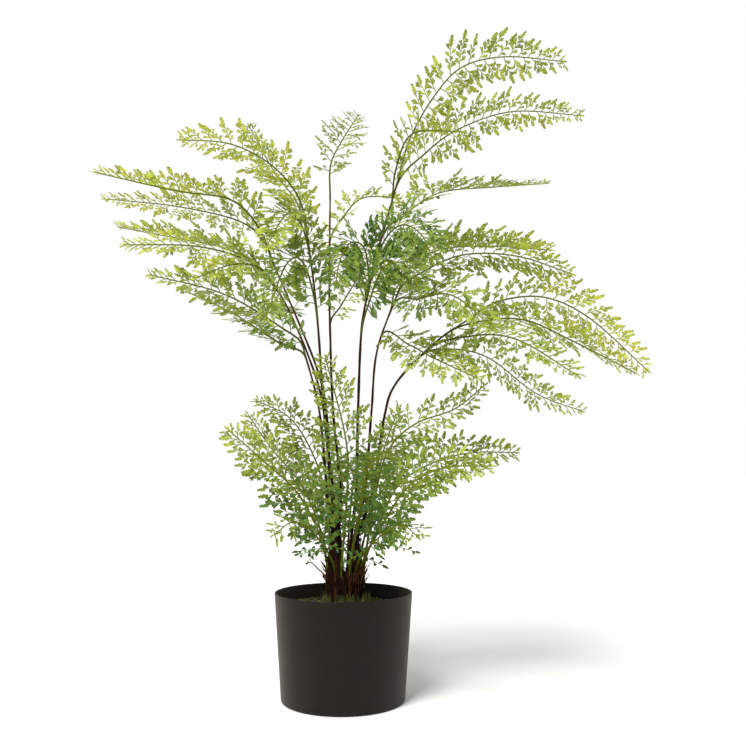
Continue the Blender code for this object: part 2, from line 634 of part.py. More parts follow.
def pot_radius(height):
    return BASE_RADIUS + (RIM_RADIUS - BASE_RADIUS) * height / POT_HEIGHT


def clear_radius(height):
    """The radius that clears the flats of the pot's inner wall."""
    return (pot_radius(height) - WALL) * math.cos(math.pi / POT_SIDES) - FIT_GAP


def build_mix(finish):
    """Potting mix filling the pot, with a lumpy top and a round socket for the crown's peg."""
    draw = random.Random(7)
    socket = (PEG_RADIUS + STRAND_RELIEF + FIT_GAP) / math.cos(math.pi / MIX_SIDES)
    low, high = FLOOR + FIT_GAP, MIX_TOP - MIX_EDGE_DIP
    rings = [(CROWN_X, socket, PEG_BOTTOM - FIT_GAP, 0.0), (CROWN_X, socket, MIX_TOP, 0.0)]
    rings += [(0.0, radius, MIX_TOP - dip, MIX_BUMP) for radius, dip in MIX_RINGS]
    rings += [(0.0, clear_radius(high), high, 0.0), (0.0, clear_radius(low), low, 0.0)]
    bm = bmesh.new()
    rows = []
    for centre, radius, height, bump in rings:
        row = []
        for k in range(MIX_SIDES):
            turn = 2 * math.pi * k / MIX_SIDES
            row.append(bm.verts.new((centre + radius * math.cos(turn), radius * math.sin(turn),
                                     height + bump * draw.uniform(-1, 1))))
        rows.append(row)
    skin(bm, rows)
    return object_from(bm, "potting_mix", finish)


def build_crown(finish):
    """The fibre clump on its peg, with two strand bundles fused on and a plain hole for each stem."""
    rings = [(PEG_RADIUS, PEG_RADIUS, CROWN_X, PEG_BOTTOM), (PEG_RADIUS, PEG_RADIUS, CROWN_X, MIX_TOP)]
    rings += [(wide, deep, CROWN_X, height) for wide, deep, height in CLUMP_RINGS]
    made = object_from(turned(rings, CLUMP_SIDES, STRAND_RELIEF, STRAND_TWIST, 3), "fibre_crown", finish)
    bundles = []
    for side in (-1, 1):
        x = CROWN_X + side * BUNDLE_OFFSET
        rings = [(radius, radius, x, height) for radius, height in BUNDLE_RINGS]
        strands = turned(rings, BUNDLE_SIDES, STRAND_RELIEF / 2, STRAND_TWIST, 5 + side)
        bundles.append(object_from(strands, "bundle"))
    boolean(made, bundles, "UNION", "EXACT")
    cutters = [hole(stem_path(stem), STEM_FOOT_RADIUS, STEM_SUNK) for stem in STEMS]
    cutters += [hole(stalk_path(frond), STALK_HALF, STALK_SUNK) for frond in LOW_FRONDS]
    boolean(made, cutters, "DIFFERENCE", "EXACT")
    return made


def hole(path, radius, depth):
    """A plain hole along a stem's path, from just under its foot to above the fibres."""
    wide = (radius + FIT_GAP) / math.cos(math.pi / HOLE_SIDES)
    bm = tube(path, lambda distance: wide, HOLE_SIDES, [0.0, depth])
    drop = path.heading(0.0) * FIT_GAP
    bm.verts.ensure_lookup_table()
    for vert in bm.verts[:HOLE_SIDES]:
        vert.co -= drop
    return object_from(bm, "hole")


def build():
    clear_scene()
    build_pot(material("matte_charcoal", (0.021, 0.020, 0.016), 0.55))
    build_mix(material("potting_mix", (0.045, 0.035, 0.022), 0.95))
    build_crown(material("crown_fibre", (0.075, 0.030, 0.016), 0.85))
    leaf = material("fern_green", (0.23, 0.36, 0.06), 0.5)
    for k, stem in enumerate(STEMS):
        build_leafy_stem("leafy_stem_%d" % (k + 1), stem, leaf)
    for k, frond in enumerate(LOW_FRONDS):
        build_low_frond("low_frond_%02d" % (k + 1), frond, leaf)


build()
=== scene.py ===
import math
import random
from collections import namedtuple

import bpy
import numpy as np
from mathutils import Matrix, Vector, noise


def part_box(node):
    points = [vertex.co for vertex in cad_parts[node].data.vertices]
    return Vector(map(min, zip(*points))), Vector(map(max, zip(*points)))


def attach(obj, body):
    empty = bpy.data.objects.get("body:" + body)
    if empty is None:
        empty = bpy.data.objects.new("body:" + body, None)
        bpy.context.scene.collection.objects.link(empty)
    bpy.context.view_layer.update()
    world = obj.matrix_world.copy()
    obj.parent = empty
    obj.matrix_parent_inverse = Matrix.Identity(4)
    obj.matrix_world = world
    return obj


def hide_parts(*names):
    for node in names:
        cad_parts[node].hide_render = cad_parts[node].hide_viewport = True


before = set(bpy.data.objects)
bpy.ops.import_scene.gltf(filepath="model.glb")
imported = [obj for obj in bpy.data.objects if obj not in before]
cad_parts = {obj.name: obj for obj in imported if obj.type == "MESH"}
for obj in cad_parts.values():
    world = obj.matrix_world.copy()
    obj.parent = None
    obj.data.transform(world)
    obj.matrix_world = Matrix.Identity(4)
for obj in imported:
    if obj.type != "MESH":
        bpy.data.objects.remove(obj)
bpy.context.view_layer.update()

# Pot. A plain round nursery pot, injection moulded in charcoal polypropylene with a thin even
# wall. The mould was spark eroded, so the skin is matt with a fine even grain, and it only
# shines softly where it is seen edge on.
POT_SIDES = 128
POT_TAPER = 0.009                   # how much narrower than the rim the foot is, each side
WALL = 0.0018
POT_FLOOR = 0.0025
FOOT_ROUND = 0.0026
LIP = WALL / 2
POT_SCUFF_MM = 18.0
POT_GRAIN_MM = 0.5                  # really about 0.1, too fine to show, so it is drawn coarser


def linear(code):
    """An sRGB hex colour as linear RGBA."""
    parts = [int(code[k:k + 2], 16) / 255 for k in (1, 3, 5)]
    return tuple(c / 12.92 if c <= 0.04045 else ((c + 0.055) / 1.055) ** 2.4 for c in parts) + (1.0,)


def add(tree, kind, inputs=None, stops=(), **settings):
    """Add a shader node with its settings, its colour stops, and its socket values or links."""
    made = tree.nodes.new("ShaderNode" + kind)
    for name, value in settings.items():
        setattr(made, name, value)
    for name, value in (inputs or {}).items():
        if isinstance(value, bpy.types.NodeSocket):
            tree.links.new(value, made.inputs[name])
        else:
            made.inputs[name].default_value = value
    for k, (place, colour) in enumerate(stops):
        element = made.color_ramp.elements[k] if k < 2 else made.color_ramp.elements.new(place)
        element.position = place
        element.color = linear(colour)
    return made


def finish_named(name):
    """A new material with nothing in its node tree, and that tree."""
    made = bpy.data.materials.new(name)
    made.use_nodes = True
    made.node_tree.nodes.clear()
    return made, made.node_tree


def surface(tree, inputs):
    """End a material with its shader, given that shader's socket values or links."""
    shader = add(tree, "BsdfPrincipled", inputs)
    add(tree, "OutputMaterial", {"Surface": shader.outputs["BSDF"]})


def piece_from(name, points, faces, finish, smooth_under=40):
    """A mesh object shaded smooth across edges that turn less than that many degrees."""
    mesh = bpy.data.meshes.new(name)
    mesh.from_pydata(points, [], faces)
    mesh.materials.append(finish)
    mesh.shade_smooth()
    mesh.set_sharp_from_angle(angle=math.radians(smooth_under))
    made = bpy.data.objects.new(name, mesh)
    bpy.context.scene.collection.objects.link(made)
    return made


def ring_faces(start, rows, sides):
    """Faces of a body made of rows of points, one ring on another, with a cap at each end."""
    faces = []
    for row in range(start, start + (rows - 1) * sides, sides):
        for k in range(sides):
            a, b = row + k, row + (k + 1) % sides
            faces.append((a, b, b + sides, a + sides))
    faces.append(tuple(start + k for k in reversed(range(sides))))
    faces.append(tuple(start + (rows - 1) * sides + k for k in range(sides)))
    return faces


def lathe(profile, sides):
    """Points and faces of a body turned on the Z axis, closed at both ends."""
    points = []
    for radius, height in profile:
        for k in range(sides):
            turn = 2 * math.pi * k / sides
            points.append((radius * math.cos(turn), radius * math.sin(turn), height))
    return points, ring_faces(0, len(profile), sides)


# Moulded polypropylene: near black and matt, faintly cloudy where it was handled. Its low gloss
# and thin warm sheen make it brighten softly towards both edges and stay dark in the middle.
moulded_pp, tree = finish_named("moulded_polypropylene")
place = add(tree, "TexCoord").outputs["Object"]
scuff = add(tree, "TexNoise", {"Vector": place, "Scale": 1000 / POT_SCUFF_MM, "Detail": 3.0})
colour = add(tree, "ValToRGB", {"Fac": scuff.outputs["Fac"]},
             stops=[(0.3, "#110F0A"), (0.7, "#15130D")])
rough = add(tree, "MapRange", {"Value": scuff.outputs["Fac"], "To Min": 0.44, "To Max": 0.54})
grain = add(tree, "TexNoise", {"Vector": place, "Scale": 1000 / POT_GRAIN_MM, "Detail": 2.0})
bump = add(tree, "Bump", {"Height": grain.outputs["Fac"], "Strength": 0.12, "Distance": 0.0003})
surface(tree, {"Base Color": colour.outputs["Color"], "Roughness": rough.outputs["Result"],
               "Normal": bump.outputs["Normal"], "IOR": 1.49, "Specular IOR Level": 0.16,
               "Sheen Weight": 0.07, "Sheen Roughness": 0.55, "Sheen Tint": linear("#FFE8C4")})

pot_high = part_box("pot")[1]
RIM_RADIUS = pot_high.x
POT_HEIGHT = pot_high.z
BASE_RADIUS = RIM_RADIUS - POT_TAPER


def pot_radius(height):
    """The wall's outer radius at a height."""
    return BASE_RADIUS + (RIM_RADIUS - BASE_RADIUS) * height / POT_HEIGHT


def rounded(corner_in, corner, corner_out, steps=5):
    """A rounded corner of the profile, as a quadratic curve."""
    curve = []
    for k in range(steps + 1):
        t = k / steps
        curve.append(tuple((1 - t) ** 2 * a + 2 * t * (1 - t) * b + t * t * c
                           for a, b, c in zip(corner_in, corner, corner_out)))
    return curve


profile = rounded((pot_radius(0) - FOOT_ROUND, 0.0), (pot_radius(0), 0.0),
                  (pot_radius(FOOT_ROUND), FOOT_ROUND))
profile += rounded((pot_radius(POT_HEIGHT - LIP), POT_HEIGHT - LIP), (RIM_RADIUS, POT_HEIGHT),
                   (RIM_RADIUS - LIP, POT_HEIGHT))
profile += rounded((RIM_RADIUS - LIP, POT_HEIGHT), (RIM_RADIUS - WALL, POT_HEIGHT),
                   (pot_radius(POT_HEIGHT - LIP) - WALL, POT_HEIGHT - LIP))[1:]
profile += [(pot_radius(POT_FLOOR) - WALL, POT_FLOOR)]
pot = piece_from("pot_shell", *lathe(profile, POT_SIDES), moulded_pp)
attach(pot, "root")
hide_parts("pot")

# Potting mix. Dark crumbly mix of peat and bark that fills the pot to about 15 mm under its
# rim. It was poured in round the crown and pressed down, so its top is lumpy, with loose crumbs.
MIX_CLEAR = 0.0004                  # between the mix and the pot
MIX_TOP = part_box("potting_mix")[1].z - 0.0012       # room for the lumps and crumbs
MIX_DISH = 0.004
LUMPS = ((110, 0.3, 0.0011), (320, 1.7, 0.0006))    # waves per metre, place in the noise, height
MIX_RINGS = 30
MIX_SIDES = 96
MIX_EYE = 0.35                      # the small middle ring, in ring widths
CRUMBS = 520
CRUMB_REACH = 0.071
CRUMB_SIZE = (0.0006, 0.0021)
CLOD_MM = 6.0
GRIT_MM = 1.2


def mix_height(x, y):
    """The lumpy top, dished a little towards the wall."""
    reach = math.hypot(x, y) / RIM_RADIUS
    lumps = sum(noise.noise((x * fine, y * fine, layer)) * high for fine, layer, high in LUMPS)
    return MIX_TOP + lumps - MIX_DISH * reach ** 4


def mix_radius(height):
    """The mix's radius at a height, just inside the wall."""
    return pot_radius(height) - WALL - MIX_CLEAR


points, faces = [], []
for ring in range(MIX_RINGS + 1):
    radius = mix_radius(MIX_TOP) * (ring + MIX_EYE) / (MIX_RINGS + MIX_EYE)
    for k in range(MIX_SIDES):
        turn = 2 * math.pi * k / MIX_SIDES
        x, y = radius * math.cos(turn), radius * math.sin(turn)
        points.append((x, y, mix_height(x, y)))
for k in range(MIX_SIDES):
    turn = 2 * math.pi * k / MIX_SIDES
    points.append((mix_radius(POT_FLOOR) * math.cos(turn), mix_radius(POT_FLOOR) * math.sin(turn),
                   POT_FLOOR + MIX_CLEAR))
for ring in range(MIX_RINGS + 1):
    for k in range(MIX_SIDES):
        a, b = ring * MIX_SIDES + k, ring * MIX_SIDES + (k + 1) % MIX_SIDES
        faces.append((a, a + MIX_SIDES, b + MIX_SIDES, b))
faces.append(tuple(range(MIX_SIDES)))
faces.append(tuple((MIX_RINGS + 1) * MIX_SIDES + k for k in reversed(range(MIX_SIDES))))

# A crumb is an eight-sided lump, stretched and knocked out of true.
CORNERS = ((1, 0, 0), (-1, 0, 0), (0, 1, 0), (0, -1, 0), (0, 0, 1), (0, 0, -1))
SIDES = ((0, 2, 4), (2, 1, 4), (1, 3, 4), (3, 0, 4), (2, 0, 5), (1, 2, 5), (3, 1, 5), (0, 3, 5))
draw = random.Random(11)
for crumb in range(CRUMBS):
    turn, share = draw.uniform(0, 2 * math.pi), math.sqrt(draw.random())
    x, y = share * CRUMB_REACH * math.cos(turn), share * CRUMB_REACH * math.sin(turn)
    size = draw.uniform(*CRUMB_SIZE)
    turned = draw.uniform(0, 6.3)
    spin = Matrix.Rotation(turned, 3, Vector((draw.random(), draw.random(), draw.random())))
    stretch = (draw.uniform(0.7, 1.7), draw.uniform(0.7, 1.1), draw.uniform(0.5, 0.9))
    start = len(points)
    for corner in CORNERS:
        knock = [c * s * size * draw.uniform(0.8, 1.2) for c, s in zip(corner, stretch)]
        points.append(tuple(Vector((x, y, mix_height(x, y) + size * 0.3)) + spin @ Vector(knock)))
    faces += [(start + a, start + b, start + c) for a, b, c in SIDES]

# Peat and bark, dry on top: very dark brown and dull, with a few paler chips of bark and a
# green cast where moss has begun.
peat_mix, tree = finish_named("peat_and_bark_mix")
place = add(tree, "TexCoord").outputs["Object"]
clod = add(tree, "TexNoise", {"Vector": place, "Scale": 1000 / CLOD_MM, "Detail": 6.0, "Roughness": 0.7})
colour = add(tree, "ValToRGB", {"Fac": clod.outputs["Fac"]},
             stops=[(0.25, "#17130D"), (0.5, "#33291C"), (0.62, "#4A3B27"), (0.8, "#5D5A30")])
grit = add(tree, "TexVoronoi", {"Vector": place, "Scale": 1000 / GRIT_MM})
bump = add(tree, "Bump", {"Height": grit.outputs["Distance"], "Strength": 0.7, "Distance": 0.0006})
surface(tree, {"Base Color": colour.outputs["Color"], "Roughness": 0.95, "Normal": bump.outputs["Normal"]})
mix = piece_from("potting_mix_top", points, faces, peat_mix, 30)
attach(mix, "root")
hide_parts("potting_mix")

# Moss. Short green-brown moss that has grown on the mix, as separate tufts of fine shoots. It
# stands tallest against the crown, lies low in a ring along the wall, and leaves bare mix between.
CROWN_LOW, CROWN_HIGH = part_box("fibre_crown")
CROWN_X = (CROWN_LOW.x + CROWN_HIGH.x) / 2
MOSS_TUFTS = 250
MOSS_SHOOTS = 16
BY_CROWN = (0.021, 0.038)           # how far from the middle the tufts of each ring stand
BY_WALL = (0.052, 0.0715)
TALL_WITHIN = 0.027
TALL_MOSS = 4.0
SHOOT_SPREAD = (0.0005, 0.0026)
SHOOT_LEAN = (0.0004, 0.0022)
SHOOT_HEIGHT = (0.0012, 0.0042)
SHOOT_SINK = 0.0005
SHOOT_RADIUS = (0.00034, 0.00012)   # foot and tip
MOSS_PATCH_MM = 9.0


def strand(points, faces, route, radius_at, sides):
    """Add a closed thin strand along route, a list of vectors, thinning as radius_at says."""
    start = len(points)
    face = Vector((0.31, 0.17, 0.93))
    for k, centre in enumerate(route):
        ahead = (route[min(k + 1, len(route) - 1)] - route[max(k - 1, 0)]).normalized()
        side = ahead.cross(face)
        if side.length < 0.2:
            side = ahead.cross(Vector((0.9, 0.1, 0.2)))
        side.normalize()
        up = ahead.cross(side)
        radius = radius_at(k / (len(route) - 1))
        for n in range(sides):
            turn = 2 * math.pi * n / sides
            points.append(centre + radius * (side * math.cos(turn) + up * math.sin(turn)))
    faces += ring_faces(start, len(route), sides)


points, faces = [], []
draw = random.Random(23)
for tuft in range(MOSS_TUFTS):
    turn = draw.uniform(0, 2 * math.pi)
    near_crown = draw.random() < 0.5
    reach = draw.uniform(*BY_CROWN) if near_crown else draw.uniform(*BY_WALL)
    tall = TALL_MOSS if reach < TALL_WITHIN else 1.0
    x = CROWN_X * near_crown + reach * math.cos(turn)
    y = reach * math.sin(turn) * (0.9 if near_crown else 1)
    for shoot in range(MOSS_SHOOTS):
        lean = draw.uniform(0, 2 * math.pi)
        spread = draw.uniform(*SHOOT_SPREAD)
        foot = Vector((x + spread * math.cos(lean), y + spread * math.sin(lean), 0))
        foot.z = mix_height(foot.x, foot.y) - SHOOT_SINK
        out = Vector((math.cos(lean), math.sin(lean), 0)) * draw.uniform(*SHOOT_LEAN)
        rise = Vector((0, 0, draw.uniform(*SHOOT_HEIGHT) * tall))
        route = [foot, foot + rise * 0.6 + out * 0.35, foot + rise + out]
        strand(points, faces, route, lambda t: SHOOT_RADIUS[0] + (SHOOT_RADIUS[1] - SHOOT_RADIUS[0]) * t, 3)

# Cushion moss: soft and dull, olive in the shade of the tufts and yellow-green on young growth.
moss_green, tree = finish_named("cushion_moss")
place = add(tree, "TexCoord").outputs["Object"]
patch = add(tree, "TexNoise", {"Vector": place, "Scale": 1000 / MOSS_PATCH_MM, "Detail": 4.0})
colour = add(tree, "ValToRGB", {"Fac": patch.outputs["Fac"]},
             stops=[(0.3, "#3A3B1B"), (0.5, "#5E6629"), (0.68, "#8A8E3F")])
surface(tree, {"Base Color": colour.outputs["Color"], "Roughness": 0.8})
moss = piece_from("moss_tufts", points, faces, moss_green)
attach(moss, "root")

# Fibre crown. The feet of the stems are bound in coarse, dry root fibre, dark red-brown and
# matt. It climbs from a tight clump at the mix into two bundles round the stems, twisting a
# little, and its ends fray at the top. A few stray fibres stick out.
CLUMP_TOP = 0.143
CLUMP_FOOT = (0.0180, 0.0160)       # half widths at the mix and where the stalks leave it
CLUMP_HEAD = (0.0232, 0.0180)
CROWN_TOP = CROWN_HIGH.z
PARTS_AT = 0.128                    # the clump parts into its bundles from here, over the next
PARTS_OVER = 0.026
BUNDLE_OFFSET = 0.011
BUNDLE_RADIUS = 0.0082
FIBRES = 700
FIBRE_RADIUS = 0.00052
FIBRE_LENGTH = (0.022, 0.070)
FIBRE_POINTS = 9
SHORTEST = 0.012
STRAYS = 150
STRAY_FEET = (0.118, 0.165, 0.138)  # lowest, highest and most usual height
STRAY_RADII = (0.00045, 0.0010)
STRAY_LENGTH = (0.005, 0.011)
STRAY_LIFT = (0.8, 3.2)             # how steeply it rises, for each metre out
STRAY_POINTS = 8


def clump_widths(height):
    """The clump's half widths at a height."""
    rise = min(max((height - MIX_TOP) / (CLUMP_TOP - MIX_TOP), 0.0), 1.0)
    return [foot + (head - foot) * rise for foot, head in zip(CLUMP_FOOT, CLUMP_HEAD)]


def clump_point(turn, height, scale):
    """A place on the clump, which parts into two round bundles above the stalks."""
    side = 1 if math.cos(turn) > 0 else -1
    wide, deep = clump_widths(height)
    clump = Vector((wide * math.cos(turn), deep * math.sin(turn)))
    radius = BUNDLE_RADIUS * (1 - 0.3 * max(0.0, height - CLUMP_TOP) / (CROWN_TOP - CLUMP_TOP))
    inner = 2 * turn + (side < 0) * math.pi
    bundle = Vector((side * BUNDLE_OFFSET + radius * math.cos(inner), radius * math.sin(inner)))
    part = min(max((height - PARTS_AT) / PARTS_OVER, 0.0), 1.0)
    part = part * part * (3 - 2 * part)
    flat = clump.lerp(bundle, part) * scale
    if part > 0:
        flat.x += side * BUNDLE_OFFSET * part * (1 - scale)
    return Vector((CROWN_X + flat.x, flat.y, height))


tones = []
points, faces = [], []
draw = random.Random(31)
for fibre in range(FIBRES):
    turn = draw.uniform(0, 2 * math.pi)
    low = MIX_TOP - 0.003 if draw.random() < 0.6 else draw.uniform(MIX_TOP, 0.145)
    high = min(low + draw.uniform(*FIBRE_LENGTH), CROWN_TOP + draw.uniform(-0.014, 0.006))
    high = max(high, low + SHORTEST)
    scale = draw.uniform(0.80, 1.05)
    twist = draw.gauss(0, 0.25)
    fray = max(0.0, draw.gauss(0.0, 0.0026)) + (0.004 if draw.random() < 0.12 else 0.0)
    wander = Vector((draw.gauss(0, 1), draw.gauss(0, 1), 0)) * 0.0006
    route = []
    for k in range(FIBRE_POINTS):
        t = k / (FIBRE_POINTS - 1)
        spot = clump_point(turn + twist * t, low + (high - low) * t, scale)
        out = (spot - Vector((CROWN_X, 0, spot.z))).normalized()
        route.append(spot + wander * math.sin(5 * t + turn) + out * fray * t ** 3)
    size = FIBRE_RADIUS * draw.uniform(0.6, 1.25)
    strand(points, faces, route, lambda t: size * (1 - 0.65 * t ** 2), 4)
    tones += [draw.random()] * (len(points) - len(tones))

for stray in range(STRAYS):
    turn = draw.uniform(0, 2 * math.pi)
    start = clump_point(turn, draw.triangular(*STRAY_FEET), 1.0)
    out = Vector((math.cos(turn), math.sin(turn), 0))
    thick = draw.choice(STRAY_RADII)
    length = draw.uniform(*STRAY_LENGTH)
    lift = draw.uniform(*STRAY_LIFT)
    curl = draw.uniform(-0.6, 0.6)
    route = []
    for k in range(STRAY_POINTS):
        t = k / (STRAY_POINTS - 1)
        swing = out.cross(Vector((0, 0, 1))) * curl * t * t
        route.append(start + (out * t + swing + Vector((0, 0, lift * t * (1 - 0.35 * t)))) * length)
    strand(points, faces, route, lambda t: thick * (1 - 0.75 * t), 4)
    tones += [draw.uniform(0.5, 1.0)] * (len(points) - len(tones))

# The one long loose root, which leaves the clump at its left and arches over.
ROOT_FOOT = (-0.0200, -0.010, 0.1330)
ROOT_REACH = (-0.0260, -0.004)
ROOT_ARCH = 0.0200
ROOT_KINK = 0.0008
ROOT_RADIUS = 0.00100
ROOT_POINTS = 14
route = []
for k in range(ROOT_POINTS):
    t = k / (ROOT_POINTS - 1)
    route.append(Vector((CROWN_X + ROOT_FOOT[0] + ROOT_REACH[0] * t, ROOT_FOOT[1] + ROOT_REACH[1] * t,
                         ROOT_FOOT[2] + ROOT_ARCH * math.sin(1.75 * t) + ROOT_KINK * math.sin(11 * t))))
strand(points, faces, route, lambda t: ROOT_RADIUS * (1 - 0.45 * t), 5)
tones += [0.85] * (len(points) - len(tones))

# Behind the fibres, a core fills the clump and each bundle where the fibres are packed, so no light comes
# through. Its nearly black colour is painted shade for the depth of the clump.
CORE_INSET = 0.0030
CORE_LOW = MIX_TOP - 0.004
CORE_HIGH = CLUMP_TOP - 0.001
CORE_ROWS = 16
CORE_SIDES = 40
DOME_ROW = 10                       # from this row up, the core draws in to a dome
INNER_LOW = 0.136
INNER_HIGH = CROWN_TOP - 0.006
INNER_RADII = (0.0062, 0.0038)
INNER_ROWS = 8
INNER_SIDES = 16
start = len(points)
for k in range(CORE_ROWS):
    height = CORE_LOW + (CORE_HIGH - CORE_LOW) * k / (CORE_ROWS - 1)
    wide, deep = clump_widths(height)
    for n in range(CORE_SIDES):
        turn = 2 * math.pi * n / CORE_SIDES
        ruffle = 1 + 0.05 * math.sin(13 * turn + height * 90) + 0.03 * math.sin(29 * turn)
        ruffle *= 1 - max(0.0, (k - DOME_ROW) / 5.5) ** 2.2
        points.append((CROWN_X + (wide - CORE_INSET) * ruffle * math.cos(turn),
                       (deep - CORE_INSET) * ruffle * math.sin(turn), height))
faces += ring_faces(start, CORE_ROWS, CORE_SIDES)
for side in (-1, 1):
    start = len(points)
    for k in range(INNER_ROWS):
        share = k / (INNER_ROWS - 1)
        height = INNER_LOW + (INNER_HIGH - INNER_LOW) * share
        radius = INNER_RADII[0] + (INNER_RADII[1] - INNER_RADII[0]) * share
        for n in range(INNER_SIDES):
            turn = 2 * math.pi * n / INNER_SIDES
            points.append((CROWN_X + side * BUNDLE_OFFSET + radius * math.cos(turn),
                           radius * math.sin(turn), height))
    faces += ring_faces(start, INNER_ROWS, INNER_SIDES)
# Painted shade: the core and the bundle cores all take the nearly black tone 0.05.
tones += [0.05] * (len(points) - len(tones))

# Dry root fibre: coarse and dead matt. Each strand has one tone of its own, from nearly black to red-brown,
# with a rare tan one, so the clump looks wiry and not solid. The core deep in the clump takes a nearly black
# tone, which is painted shade.
root_fibre, tree = finish_named("dry_root_fibre")
tone = add(tree, "Attribute", attribute_name="tone").outputs["Fac"]
colour = add(tree, "ValToRGB", {"Fac": tone},
             stops=[(0.0, "#0A0603"), (0.45, "#20130A"), (0.80, "#432713"), (1.0, "#7A4C30")])
surface(tree, {"Base Color": colour.outputs["Color"], "Roughness": 0.78, "Specular IOR Level": 0.12})


def mark(piece, name, values):
    """Store one number for each point of a piece, for its material to read."""
    layer = piece.data.attributes.new(name, "FLOAT", "POINT")
    layer.data.foreach_set("value", np.array(values, dtype=np.float32))


crown = piece_from("fibre_crown_strands", points, faces, root_fibre, 60)
mark(crown, "tone", tones)
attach(crown, "root")
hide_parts("fibre_crown")

# Leafy stems and low fronds. A maidenhair's stem is a thin wiry stipe, polished and almost
# black at the foot. From it spring green fronds with alternate branches of small fan-shaped
# leaflets on hair-thin stalks, and each branch ends in one long lobed leaflet.

